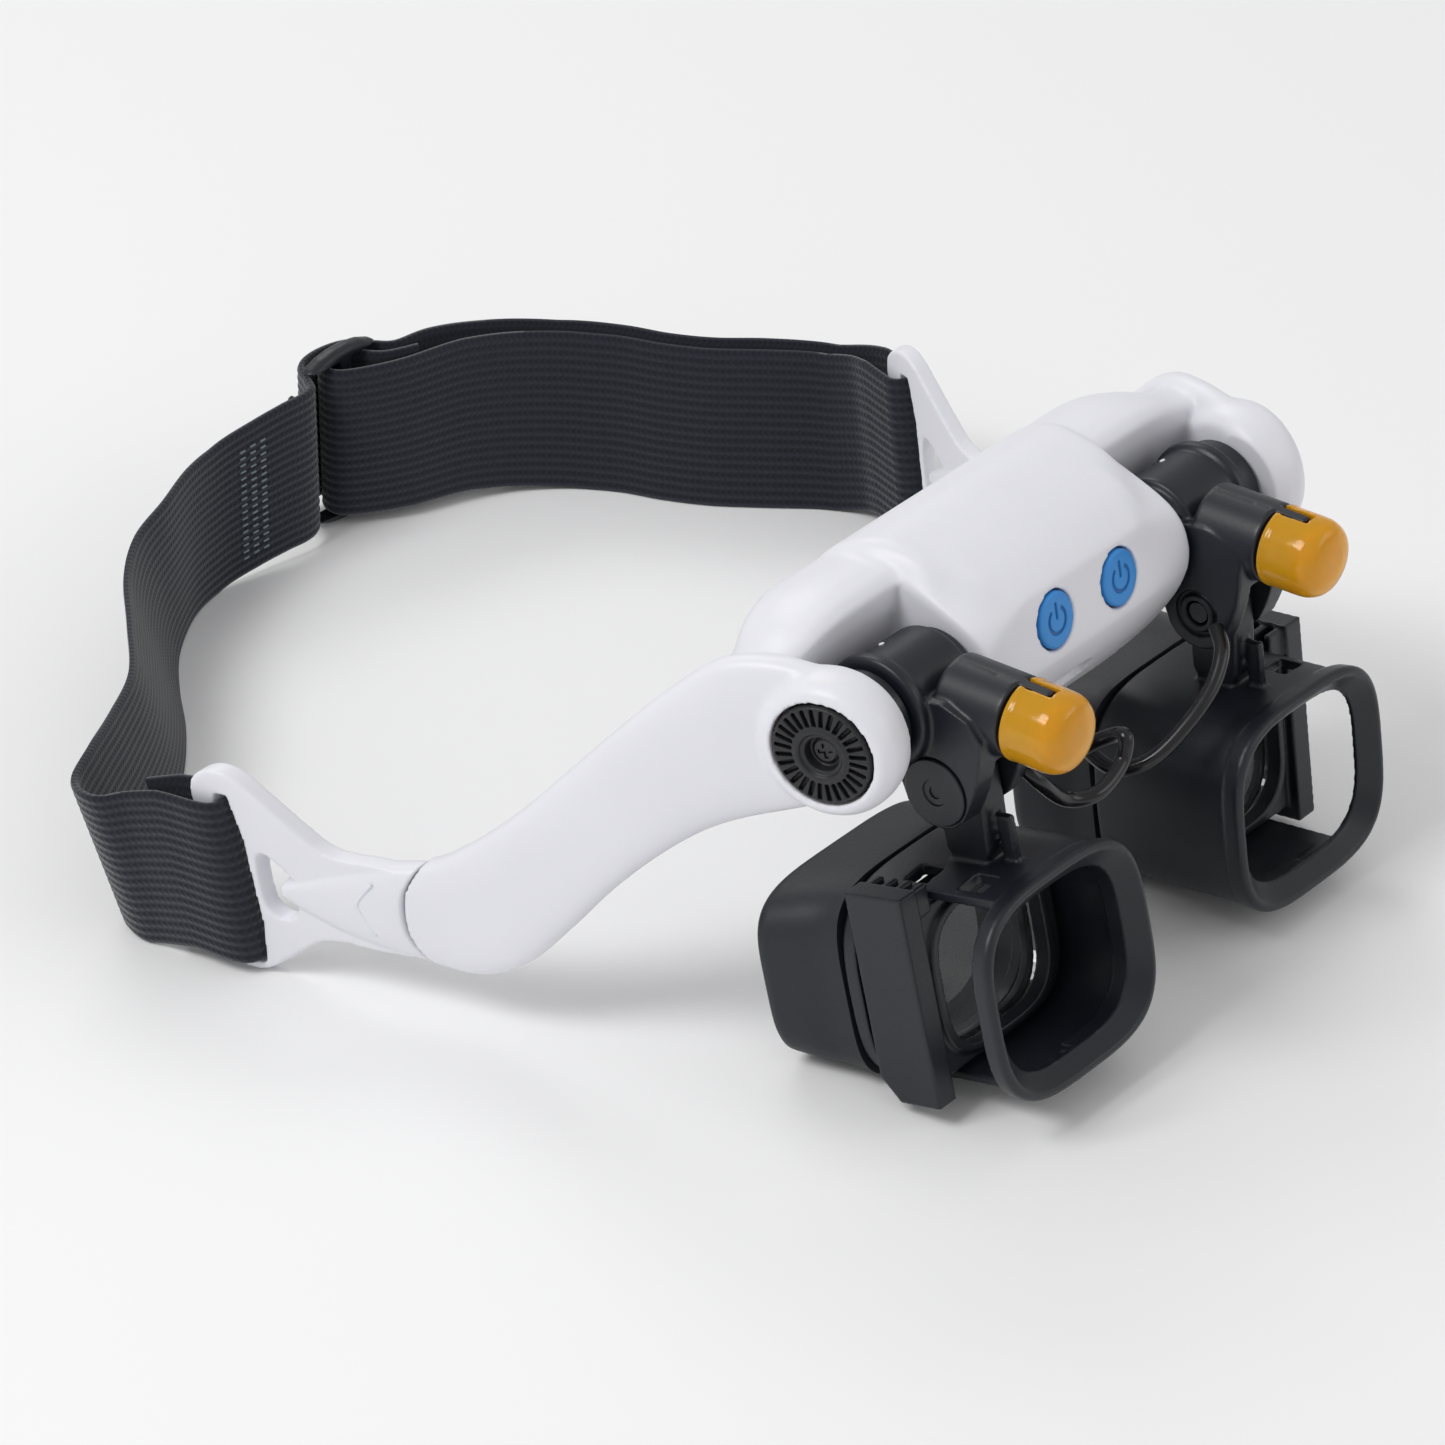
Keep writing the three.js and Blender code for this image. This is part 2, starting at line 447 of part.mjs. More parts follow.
// ---------------------------------------------------------------- head strap
// Foot of the webbing as [x, y], and how far its upper edge leans as [x, y]. The route starts at the sewn end
// of the right loop, passes the right hook, goes round the head and through the buckle, round the left hook,
// and back to the buckle's middle bar, where its tail ends.
const ROUTE = [
  [-76.5, 114, -1.4, 4.8], [-73.9, 109.7, -1.4, 4.8], [-72.3, 105.6, -1.4, 4.8], [-71.9, 103.2, -1.4, 4.8],
  [-73.9, 101.3, -1.4, 4.8], [-76.5, 101.7, -1.4, 4.8], [-77.8, 103.9, -1.4, 4.8], [-78.4, 108.6, -1.8, 4.8],
  [-79, 114.4, -3, 4.4], [-79.6, 120, -4.9, 3.2], [-76.6, 125.2, -6.2, 2.8], [-68, 130.4, -7.2, 1.8],
  [-57, 136.6, -9.2, 0.2], [-46.4, 143.6, -9.8, -1], [-37.5, 151.4, -9.4, 0.4], [-30.5, 159.2, -7.8, 1.4],
  [-24, 165.6, -6, 0.8], [-17.6, 170.2, -3.2, -0.6], [-10.8, 173.6, -0.8, -0.4], [-3.6, 175, -0.4, -0.4],
  [4, 174.2, 0, -0.2], [11.6, 172.8, 0, 0.2], [15.6, 173.6, 0, 0], [17.6, 176.2, 0, 0],
  [20, 179.6, 0, 0], [24.5, 180.6, 0, 0], [29.4, 179.4, 0, 0], [32, 176, 0, 0],
  [34.2, 173.2, 0, 0.2], [38.6, 171.4, 0.6, 1], [43.8, 168.2, 1.8, 2.2], [49.8, 163.2, 3.2, 2.8],
  [55.6, 156.6, 3.6, 3], [59.6, 149.2, 3.6, 3], [62, 142.2, 3.6, 3], [65.3, 135.8, 3.6, 3.2],
  [70.2, 129.2, 3.6, 3.6], [75.4, 121.2, 2.8, 4.4], [78.6, 113.8, 1.8, 4.8], [78.6, 108.4, 1.4, 4.8],
  [77.8, 103.9, 1.4, 4.8], [76.5, 101.7, 1.4, 4.8], [73.9, 101.3, 1.4, 4.8], [71.9, 103.2, 1.4, 4.8],
  [72.3, 105.6, 1.4, 4.8], [73.6, 109.8, 1.4, 4.8], [74.4, 114, 1.8, 4.8], [72.4, 119.8, 2.8, 4.4],
  [67, 127.3, 3.8, 3.6], [62.2, 134.2, 3.6, 3.2], [58.9, 141, 3.5, 3], [56.4, 148, 3.5, 3],
  [52.2, 154.6, 3.4, 2.8], [45.6, 160.6, 2.8, 2.4], [38.2, 164.6, 1.6, 1.8], [30.6, 167.6, 0.6, 1],
  [25, 171, 0, 0.4], [21.6, 174.2, 0, 0], [22.2, 177.6, 0, 0], [25.6, 178.6, 0, 0],
  [28.3, 176, 0, 0], [30.6, 172, 0.2, 0.4], [35, 169, 0.8, 1],
];
const BUCKLE = { x0: 11.8, x1: 37.2, y0: 174.8, y1: 177.2, z0: 0.35, z1: 29.6 };
const LIFT = 1.9;                // the buckle and the hooks hold the webbing's foot this far off the table

function footHeight({ x, y }) {
  const byBuckle = y > 150 ? 2 - Math.abs(x - 24.5) / 15 : 0;
  const byHook = y < 120 ? (118 - y) / 8 : 0;
  return STRAP.foot + LIFT * Math.min(1, Math.max(0, byBuckle, byHook));
}

function strap() {
  const smooth = (points) => new THREE.CatmullRomCurve3(
    points.map(([x, y]) => new THREE.Vector3(x, y, 0)), false, 'catmullrom');
  const foot = smooth(ROUTE);
  const lean = smooth(ROUTE.map(([, , x, y]) => [x, y]));
  const stations = 2 * (ROUTE.length - 1);
  const rings = [];
  for (let i = 0; i <= stations; i += 1) {
    const t = i / stations;
    const [p, tangent, top] = [foot.getPoint(t), foot.getTangent(t), lean.getPoint(t)];
    const z = footHeight(p);
    const rise = Math.sqrt(STRAP.width ** 2 - top.x ** 2 - top.y ** 2);
    const across = new THREE.Vector3(-tangent.y, tangent.x, 0).normalize().multiplyScalar(STRAP.thickness / 2);
    const low = new THREE.Vector3(p.x, p.y, z);
    const high = new THREE.Vector3(p.x + top.x, p.y + top.y, z + rise);
    rings.push([low.clone().sub(across), low.clone().add(across), high.clone().add(across),
      high.clone().sub(across)].map((corner) => corner.toArray()));
  }
  return loft(rings);
}
part('head_strap', strap(), WEBBING);

function strapBuckle() {
  const { x0, x1, y0, y1, z0, z1 } = BUCKLE;
  const middle = (x0 + x1) / 2;
  const bevel = 2;
  const outline = [[x0 + bevel, z0], [x1 - bevel, z0], [x1, z0 + bevel], [x1, z1 - bevel],
    [x1 - bevel, z1], [x0 + bevel, z1], [x0, z1 - bevel], [x0, z0 + bevel]];
  const frame = loft([y0, y1].map((y) => outline.map(([x, z]) => [x, y, z])));
  const windows = [[x0 + 2.6, middle - 1.2], [middle + 1.2, x1 - 2.6]].map(([from, to]) =>
    box(from, to, y0 - 2, y1 + 2, z0 + 1.6, z1 - 1.8));
  return cut(join(frame), ...windows);
}
part('strap_buckle', strapBuckle(), BLACK);

// ---------------------------------------------------------------- origin: middle of the footprint
group.updateMatrixWorld(true);
const bounds = new THREE.Box3().setFromObject(group, true);
const centre = bounds.getCenter(new THREE.Vector3());
group.position.set(-centre.x, -centre.y, -bounds.min.z);

export default group;
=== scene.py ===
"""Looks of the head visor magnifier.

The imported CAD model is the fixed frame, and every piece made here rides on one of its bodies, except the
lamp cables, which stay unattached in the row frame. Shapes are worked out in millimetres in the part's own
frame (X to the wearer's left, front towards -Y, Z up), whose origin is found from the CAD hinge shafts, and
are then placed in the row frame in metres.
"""
import math

import bmesh
import bpy
from mathutils import Matrix, Vector


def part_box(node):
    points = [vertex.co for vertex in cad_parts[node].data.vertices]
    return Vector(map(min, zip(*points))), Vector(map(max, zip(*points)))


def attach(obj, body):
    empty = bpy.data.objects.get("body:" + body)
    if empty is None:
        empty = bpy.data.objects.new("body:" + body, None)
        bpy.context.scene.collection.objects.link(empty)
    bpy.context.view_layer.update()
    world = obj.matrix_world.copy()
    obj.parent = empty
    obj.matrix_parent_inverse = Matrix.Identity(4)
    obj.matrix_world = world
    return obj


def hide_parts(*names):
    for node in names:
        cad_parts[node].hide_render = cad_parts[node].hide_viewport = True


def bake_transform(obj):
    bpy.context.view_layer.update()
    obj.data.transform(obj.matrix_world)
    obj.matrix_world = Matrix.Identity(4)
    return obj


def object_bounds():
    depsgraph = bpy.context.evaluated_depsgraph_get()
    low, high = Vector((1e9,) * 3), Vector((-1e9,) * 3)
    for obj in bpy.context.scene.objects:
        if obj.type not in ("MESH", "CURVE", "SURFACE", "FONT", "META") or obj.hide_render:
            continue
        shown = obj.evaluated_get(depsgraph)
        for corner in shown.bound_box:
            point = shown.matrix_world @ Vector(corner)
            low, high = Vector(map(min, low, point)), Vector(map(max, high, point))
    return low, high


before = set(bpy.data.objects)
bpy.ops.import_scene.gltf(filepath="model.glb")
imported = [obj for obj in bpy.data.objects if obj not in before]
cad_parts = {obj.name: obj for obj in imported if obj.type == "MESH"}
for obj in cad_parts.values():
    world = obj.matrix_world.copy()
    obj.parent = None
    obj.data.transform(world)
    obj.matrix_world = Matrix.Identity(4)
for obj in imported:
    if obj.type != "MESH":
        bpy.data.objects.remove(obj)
cad_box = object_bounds()
scene = bpy.context.scene

# ------------------------------------------------------------------ driving dimensions, mm and degrees
MM = 0.001
HINGE = Vector((0, 25.4, 53.2))
PIVOT = Vector((0, 16.5, 43.8))
NOTCH = (22.4, 40.9)
EYE_X = 29.3
LAMP = Vector((28.7, 7.5, 55.6))
LAMP_RISE = 1.5
TILT = {"right": 14, "left": 8}
DISC_X, DISC_TOE = 45, 12
FACE_Y, FACE_Z, FACE_LEAN = 18.33, 56.2, 11.3
SQUIRCLE, CUP_POWER = 3.4, 4.2
SHAFT_HOLE, PIN_HOLE = 2.6, 1.85
SIDES = {"right": -1, "left": 1}

shaft_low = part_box("hinge_shaft_right")[0]
shaft_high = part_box("hinge_shaft_left")[1]
ORIGIN = (shaft_low + shaft_high) / 2 - HINGE * MM
TO_ROW = Matrix.Translation(ORIGIN) @ Matrix.Scale(MM, 4)


def row_point(x, y, z):
    """A point of the part's own frame, in mm, as a point of the row frame in metres."""
    return TO_ROW @ Vector((x, y, z))


# ------------------------------------------------------------------ camera
CAMERA = {"at": (-606.39, -413.94, 501.08), "azimuth": -50.768, "elevation": 32.0, "lens": 161.94}


def make_camera():
    data = bpy.data.cameras.new("camera")
    data.lens, data.sensor_width = CAMERA["lens"], 36
    data.clip_start, data.clip_end = 0.05, 20
    camera = bpy.data.objects.new("camera", data)
    scene.collection.objects.link(camera)
    a, e = math.radians(CAMERA["azimuth"]), math.radians(CAMERA["elevation"])
    back = Vector((math.sin(a) * math.cos(e), -math.cos(a) * math.cos(e), math.sin(e)))
    camera.location = row_point(*CAMERA["at"])
    camera.rotation_mode = "QUATERNION"
    camera.rotation_quaternion = (-back).to_track_quat("-Z", "Y")
    scene.camera = camera


make_camera()


# ------------------------------------------------------------------ materials
def new_material(name, color, roughness, **sockets):
    material = bpy.data.materials.new(name)
    material.use_nodes = True
    shader = material.node_tree.nodes["Principled BSDF"]
    shader.inputs["Base Color"].default_value = (*color, 1)
    shader.inputs["Roughness"].default_value = roughness
    for socket, value in sockets.items():
        shader.inputs[socket.replace("_", " ")].default_value = value
    return material


def node(material, kind, **settings):
    made = material.node_tree.nodes.new(kind)
    for key, value in settings.items():
        if hasattr(made, key):
            setattr(made, key, value)
        else:
            made.inputs[key.replace("_", " ")].default_value = value
    return made


def link(material, source, target):
    material.node_tree.links.new(source, target)


def moulded_surface(material, color, grain, depth, mottling=0.12, spread=0.08):
    """Fine moulded grain as bump, and slow changes of colour and roughness over the surface."""
    shader = material.node_tree.nodes["Principled BSDF"]
    place = node(material, "ShaderNodeTexCoord")
    slow = node(material, "ShaderNodeTexNoise", Scale=60, Detail=4)
    fine = node(material, "ShaderNodeTexNoise", Scale=1 / (grain * MM), Detail=3, Roughness=0.6)
    for texture in (slow, fine):
        link(material, place.outputs["Object"], texture.inputs["Vector"])
    ramp = node(material, "ShaderNodeMapRange", From_Min=0.3, From_Max=0.7)
    link(material, slow.outputs["Fac"], ramp.inputs["Value"])
    mix = node(material, "ShaderNodeMix", data_type="RGBA")
    dark = [c * (1 - mottling) for c in color]
    mix.inputs["A"].default_value = mix.inputs[6].default_value = (*dark, 1)
    mix.inputs[7].default_value = (*color, 1)
    link(material, ramp.outputs["Result"], mix.inputs["Factor"])
    link(material, mix.outputs[2], shader.inputs["Base Color"])
    base = shader.inputs["Roughness"].default_value
    rough = node(material, "ShaderNodeMapRange", From_Min=0.25, From_Max=0.75,
                 To_Min=base - spread, To_Max=base + spread)
    link(material, fine.outputs["Fac"], rough.inputs["Value"])
    link(material, rough.outputs["Result"], shader.inputs["Roughness"])
    bump = node(material, "ShaderNodeBump", Strength=0.6, Distance=depth * MM)
    link(material, fine.outputs["Fac"], bump.inputs["Height"])
    link(material, bump.outputs["Normal"], shader.inputs["Normal"])
    return material


WHITE_COLOR = (0.8, 0.8, 0.85)
BLACK_COLOR = (0.0085, 0.0105, 0.0165)
KNOB_COLOR = (0.012, 0.0125, 0.0155)
RUBBER_COLOR = (0.009, 0.011, 0.017)
BLUE_COLOR = (0.03, 0.26, 0.68)
MARK_COLOR = (0.012, 0.12, 0.36)
BOARD_COLOR = (0.02, 0.16, 0.05)
CELL_COLOR = (0.42, 0.45, 0.5)
CABLE_COLOR = (0.008, 0.008, 0.01)
DARK_THREAD = (0.008, 0.009, 0.014)
PALE_THREAD = (0.2, 0.25, 0.26)

white = moulded_surface(new_material("white_satin", WHITE_COLOR, 0.4, Subsurface_Weight=0.06,
                                     Subsurface_Scale=0.002), WHITE_COLOR, 0.35, 0.006, 0.02, 0.04)
black = moulded_surface(new_material("black_satin", BLACK_COLOR, 0.4), BLACK_COLOR, 0.3, 0.02)
knob_black = moulded_surface(new_material("black_knob", KNOB_COLOR, 0.5), KNOB_COLOR, 0.25, 0.02)
rubber = moulded_surface(new_material("soft_black", RUBBER_COLOR, 0.5), RUBBER_COLOR, 0.28, 0.03)
blue = moulded_surface(new_material("button_blue", BLUE_COLOR, 0.42), BLUE_COLOR, 0.25, 0.006, 0.06)
mark_blue = moulded_surface(new_material("button_mark", MARK_COLOR, 0.45), MARK_COLOR, 0.25, 0.006, 0.06)
board = moulded_surface(new_material("board_green", BOARD_COLOR, 0.35), BOARD_COLOR, 1.5, 0.01, 0.3)
cell = moulded_surface(new_material("cell_wrap", CELL_COLOR, 0.35), CELL_COLOR, 1.2, 0.01, 0.1)
cable_black = moulded_surface(new_material("cable_black", CABLE_COLOR, 0.24), CABLE_COLOR, 2.5, 0.004)
stitch_dark = moulded_surface(new_material("stitch_dark", DARK_THREAD, 0.8), DARK_THREAD, 0.2, 0.03)
stitch_pale = moulded_surface(new_material("stitch_pale", PALE_THREAD, 0.8), PALE_THREAD, 0.2, 0.03)


def turned_metal(name, color, roughness, pitch):
    """Bright metal with fine turning lines across the lamp axis."""
    material = new_material(name, color, roughness, Metallic=1.0)
    shader = material.node_tree.nodes["Principled BSDF"]
    place = node(material, "ShaderNodeTexCoord")
    lines = node(material, "ShaderNodeTexWave", wave_type="BANDS", bands_direction="Y",
                 Scale=0.314 / (pitch * MM), Distortion=0.4, Detail=1)
    link(material, place.outputs["Object"], lines.inputs["Vector"])
    rough = node(material, "ShaderNodeMapRange", To_Min=roughness - 0.08, To_Max=roughness + 0.1)
    link(material, lines.outputs["Fac"], rough.inputs["Value"])
    link(material, rough.outputs["Result"], shader.inputs["Roughness"])
    bump = node(material, "ShaderNodeBump", Strength=0.4, Distance=0.02 * MM)
    link(material, lines.outputs["Fac"], bump.inputs["Height"])
    link(material, bump.outputs["Normal"], shader.inputs["Normal"])
    return material


steel = turned_metal("turned_steel", (0.56, 0.56, 0.58), 0.3, 0.3)
steel_dark = turned_metal("screw_steel", (0.06, 0.06, 0.065), 0.35, 0.3)
reflector = turned_metal("reflector", (0.78, 0.76, 0.72), 0.26, 0.35)
socket_metal = turned_metal("socket_metal", (0.62, 0.58, 0.52), 0.28, 0.25)


def clear_material(name, color, roughness, transmission, scale, depth, **sockets):
    material = new_material(name, color, roughness, Transmission_Weight=transmission, **sockets)
    shader = material.node_tree.nodes["Principled BSDF"]
    place = node(material, "ShaderNodeTexCoord")
    ripple = node(material, "ShaderNodeTexNoise", Scale=scale, Detail=2)
    link(material, place.outputs["Object"], ripple.inputs["Vector"])
    bump = node(material, "ShaderNodeBump", Strength=0.3, Distance=depth * MM)
    link(material, ripple.outputs["Fac"], bump.inputs["Height"])
    link(material, bump.outputs["Normal"], shader.inputs["Normal"])
    return material


amber = clear_material("amber", (1.0, 0.5, 0.02), 0.12, 0.5, 500, 0.015, IOR=1.4,
                       Subsurface_Weight=0.3, Subsurface_Scale=0.003)
amber.node_tree.nodes["Principled BSDF"].inputs["Subsurface Radius"].default_value = (1.0, 0.4, 0.05)
glass = clear_material("lens_glass", (0.97, 0.99, 1.0), 0.01, 1.0, 40, 0.0001, IOR=1.46)
resin = clear_material("led_resin", (1.0, 0.85, 0.35), 0.1, 0.5, 300, 0.01, IOR=1.5)


def webbing_material():
    """Ribbed woven elastic: ribs across the width, and slanted stitches along each rib, with painted shade
    darkening the colour in the grooves between them.

    The mesh attribute "weave" holds the distance along and across the webbing, in mm."""
    material = new_material("webbing", (0.014, 0.016, 0.025), 0.85, Sheen_Weight=0.3,
                            Sheen_Roughness=0.5, Specular_IOR_Level=0.25)
    shader = material.node_tree.nodes["Principled BSDF"]
    weave = node(material, "ShaderNodeAttribute", attribute_name="weave")
    split = node(material, "ShaderNodeSeparateXYZ")
    link(material, weave.outputs["Vector"], split.inputs["Vector"])

    def wave(source, period, shift=None, sway=0.0):
        turns = node(material, "ShaderNodeMath", operation="MULTIPLY")
        turns.inputs[1].default_value = 2 * math.pi / period
        link(material, source, turns.inputs[0])
        result = turns
        if shift is not None:
            result = node(material, "ShaderNodeMath", operation="MULTIPLY_ADD")
            result.inputs[1].default_value = sway
            link(material, shift, result.inputs[0])
            link(material, turns.outputs[0], result.inputs[2])
        sine = node(material, "ShaderNodeMath", operation="SINE")
        link(material, result.outputs[0], sine.inputs[0])
        return sine.outputs[0]

    rib = wave(split.outputs["Y"], RIB_PITCH)
    stitch = wave(split.outputs["X"], 0.95, rib, 1.6)
    height = node(material, "ShaderNodeMath", operation="MULTIPLY_ADD")
    height.inputs[1].default_value = 0.55
    link(material, stitch, height.inputs[0])
    link(material, rib, height.inputs[2])
    # painted shade: the colour is mapped from the weave height, so the grooves between ribs and stitches are
    # painted darker
    shade = node(material, "ShaderNodeMapRange", From_Min=-1.5, From_Max=1.5)
    link(material, height.outputs[0], shade.inputs["Value"])
    place = node(material, "ShaderNodeTexCoord")
    fuzz = node(material, "ShaderNodeTexNoise", Scale=900, Detail=4)
    link(material, place.outputs["Object"], fuzz.inputs["Vector"])
    # random fuzz noise is added to the painted groove shade; the sum drives both the colour and the bump
    fuzz_and_groove_shade = node(material, "ShaderNodeMath", operation="MULTIPLY_ADD")
    fuzz_and_groove_shade.inputs[1].default_value = 0.35
    link(material, fuzz.outputs["Fac"], fuzz_and_groove_shade.inputs[0])
    link(material, shade.outputs["Result"], fuzz_and_groove_shade.inputs[2])
    mix = node(material, "ShaderNodeMix", data_type="RGBA")
    mix.inputs[6].default_value = (0.004, 0.005, 0.009, 1)
    mix.inputs[7].default_value = (0.019, 0.022, 0.034, 1)
    link(material, fuzz_and_groove_shade.outputs[0], mix.inputs["Factor"])
    link(material, mix.outputs[2], shader.inputs["Base Color"])
    bump = node(material, "ShaderNodeBump", Strength=0.8, Distance=0.12 * MM)
    link(material, fuzz_and_groove_shade.outputs[0], bump.inputs["Height"])
    link(material, bump.outputs["Normal"], shader.inputs["Normal"])
    return material


# ------------------------------------------------------------------ shapes, as (vertices, faces) in mm
def loft(rings, looped=False):
    """Rings of points joined into one closed skin: capped at both ends, or looped back onto the first."""
    count = len(rings[0])
    vertices = [tuple(point) for ring in rings for point in ring]
    faces = []
    for r in range(len(rings) if looped else len(rings) - 1):
        here, there = r * count, (r + 1) % len(rings) * count
        for i in range(count):
            following = (i + 1) % count
            faces.append((here + i, here + following, there + following, there + i))
    if not looped:
        last = len(vertices) - count
        faces += [tuple(range(count)), tuple(range(last, last + count))]
    return vertices, faces


def moved(shape, matrix):
    return [tuple(matrix @ Vector(v)) for v in shape[0]], shape[1]


def box(x0, x1, y0, y1, z0, z1):
    ring = [(x0, y0), (x1, y0), (x1, y1), (x0, y1)]
    return loft([[(x, y, z) for x, y in ring] for z in (z0, z1)])


def prism(outline, x0, x1):
    """A side outline of (y, z) points pushed along X."""
    return loft([[(x, y, z) for y, z in outline] for x in (x0, x1)])


def turned(profile, axis="X", segments=96):
    """A profile of (radius, distance along the axis) points turned about an axis through the origin."""
    rings = []
    for i in range(segments):
        a = 2 * math.pi * i / segments
        c, s = math.cos(a), math.sin(a)
        if axis == "X":
            rings.append([(d, r * c, r * s) for r, d in profile])
        else:
            rings.append([(r * s, d, r * c) for r, d in profile])
    return loft(rings, looped=True)


def rod(radius, x0, x1, y, z, segments=64):
    profile = [(0, x0), (radius, x0), (radius, x1), (0, x1)]
    return moved(turned(profile, segments=segments), Matrix.Translation((0, y, z)))


def ellipse(half_width, half_height, count=64):
    """Points of an ellipse, as (x, z)."""
    turns = [2 * math.pi * i / count for i in range(count)]
    return [(half_width * math.cos(a), half_height * math.sin(a)) for a in turns]


def across_y(outline, y0, y1):
    return loft([[(x, y, z) for x, z in outline] for y in (y0, y1)])


def squircle(x, y, z, half_width, half_height, count=112, power=SQUIRCLE):
    """A rounded-square ring in the plane across Y."""
    ring = []
    for i in range(count):
        a = 2 * math.pi * i / count
        c, s = math.cos(a), math.sin(a)
        dx = half_width * math.copysign(abs(c) ** (2 / power), c)
        dz = half_height * math.copysign(abs(s) ** (2 / power), s)
        ring.append((x + dx, y, z + dz))
    return ring


def catmull(points, steps, closed=False):
    """Points on a smooth curve through the given points, as tuples of any length."""
    points = [tuple(p) for p in points]
    n = len(points)
    result = []
    for i in range(n if closed else n - 1):
        if closed:
            p0, p1, p2, p3 = (points[(i + k) % n] for k in (-1, 0, 1, 2))
        else:
            p0, p1, p2, p3 = (points[min(max(i + k, 0), n - 1)] for k in (-1, 0, 1, 2))
        for step in range(steps):
            t = step / steps
            result.append(tuple(
                0.5 * (2 * b + (c - a) * t + (2 * a - 5 * b + 4 * c - d) * t * t
                       + (3 * b - a - 3 * c + d) * t ** 3)
                for a, b, c, d in zip(p0, p1, p2, p3)))
    if not closed:
        result.append(points[-1])
    return result


def rounded(points, rounds=2):
    """The closed outline with its corners cut, more finely each round."""
    for _ in range(rounds):
        cut = []
        for i, p in enumerate(points):
            q = points[(i + 1) % len(points)]
            cut.append(tuple(0.75 * a + 0.25 * b for a, b in zip(p, q)))
            cut.append(tuple(0.25 * a + 0.75 * b for a, b in zip(p, q)))
        points = cut
    return points


def spread(low, high, count):
    return [low + (high - low) * i / (count - 1) for i in range(count)]


def mix_points(a, b, t):
    return tuple(p + (q - p) * t for p, q in zip(a, b))


# ------------------------------------------------------------------ pieces
def piece_of(name, *shapes):
    """One mesh object of the shapes, each a closed skin with its faces pointing out."""
    mesh = bpy.data.meshes.new(name)
    whole = bmesh.new()
    for vertices, faces in shapes:
        part = bmesh.new()
        made = [part.verts.new(v) for v in vertices]
        for face in faces:
            part.faces.new([made[i] for i in face])
        bmesh.ops.remove_doubles(part, verts=part.verts, dist=1e-4)
        bmesh.ops.recalc_face_normals(part, faces=part.faces)
        loose = bpy.data.meshes.new("loose")
        part.to_mesh(loose)
        part.free()
        whole.from_mesh(loose)
        bpy.data.meshes.remove(loose)
    whole.to_mesh(mesh)
    whole.free()
    piece = bpy.data.objects.new(name, mesh)
    scene.collection.objects.link(piece)
    return piece


def apply_modifiers(piece):
    graph = bpy.context.evaluated_depsgraph_get()
    mesh = bpy.data.meshes.new_from_object(piece.evaluated_get(graph))
    old = piece.data
    piece.modifiers.clear()
    piece.data = mesh
    bpy.data.meshes.remove(old)


def cut(piece, *shapes):
    """Takes each shape out of the piece."""
    for shape in shapes:
        tool = piece_of("tool", shape)
        modifier = piece.modifiers.new("cut", "BOOLEAN")
        modifier.object, modifier.operation, modifier.solver = tool, "DIFFERENCE", "MANIFOLD"
        before = len(piece.data.vertices)
        apply_modifiers(piece)
        if len(piece.data.vertices) in (0, before):
            print("cut made no change on", piece.name)
        bpy.data.objects.remove(tool)


def skin(piece, voxel, rounds, share=1.0):
    """Joins the piece's shapes into one skin and rounds its edges, as a mould leaves them."""
    remesh = piece.modifiers.new("skin", "REMESH")
    remesh.mode, remesh.voxel_size = "VOXEL", voxel
    smooth = piece.modifiers.new("smooth", "SMOOTH")
    smooth.factor, smooth.iterations = 0.5, rounds
    if share < 1:
        piece.modifiers.new("thin", "DECIMATE").ratio = share
    apply_modifiers(piece)


def finish_piece(piece, material, body, stands_for=(), flat=False):
    piece.data.transform(TO_ROW)
    piece.data.materials.clear()
    piece.data.materials.append(material)
    piece.data.polygons.foreach_set("use_smooth", [not flat] * len(piece.data.polygons))
    if body:
        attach(piece, body)
    if stands_for:
        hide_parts(*stands_for)
    return piece


def crisp(piece, angle=32):
    """Keeps edges sharper than the angle sharp, and shades the rest smoothly."""
    mesh = bmesh.new()
    mesh.from_mesh(piece.data)
    for edge in mesh.edges:
        if len(edge.link_faces) == 2 and edge.calc_face_angle(0) > math.radians(angle):
            edge.smooth = False
    mesh.to_mesh(piece.data)
    mesh.free()


def carry_over(name, material):
    """A CAD node whose shape is right as it is: it gets its material and slightly broken edges."""
    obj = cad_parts[name]
    obj.data.materials.clear()
    obj.data.materials.append(material)
    bevel = obj.modifiers.new("edges", "BEVEL")
    bevel.width, bevel.segments, bevel.limit_method = 0.12 * MM, 2, "ANGLE"
    bevel.angle_limit = math.radians(50)
    obj.data.polygons.foreach_set("use_smooth", [True] * len(obj.data.polygons))


# ------------------------------------------------------------------ lamp cables (cords first)
CABLE_RADIUS = 1.1
CABLES = {
    "right": [(-9, 26.2, 33.9), (-9, 23.2, 33.2), (-7.2, 17.5, 34.6), (-4.2, 12.2, 38.6),
              (-4.4, 8.4, 40.6), (-5.9, 7.7, 37.5), (-11.4, 7.3, 35.7), (-16, 9.3, 36.1),
              (-21.2, 10.2, 41.2), (-21.9, 13, 43.6)],
    "left": [(4, 26.2, 34.9), (4, 23.6, 33), (3, 19.6, 30.4), (2.6, 14.5, 29.6), (5.2, 10.4, 31.6),
             (10.5, 8.4, 35.6), (15.6, 8.2, 39.2), (19.4, 9.6, 42.2), (21.9, 12.4, 43.6)],
}


def tube_along(path, radius, count=24):
    """Rings round a path of Vectors, kept from twisting by carrying one side direction along."""
    rings = []
    tangent = (path[1] - path[0]).normalized()
    side = tangent.orthogonal().normalized()
    for i, point in enumerate(path):
        ahead = path[min(i + 1, len(path) - 1)] - path[max(i - 1, 0)]
        tangent = ahead.normalized()
        side = (side - tangent * side.dot(tangent)).normalized()
        other = tangent.cross(side)
        rings.append([point + radius * (math.cos(a) * side + math.sin(a) * other)
                      for a in (2 * math.pi * k / count for k in range(count))])
    return rings


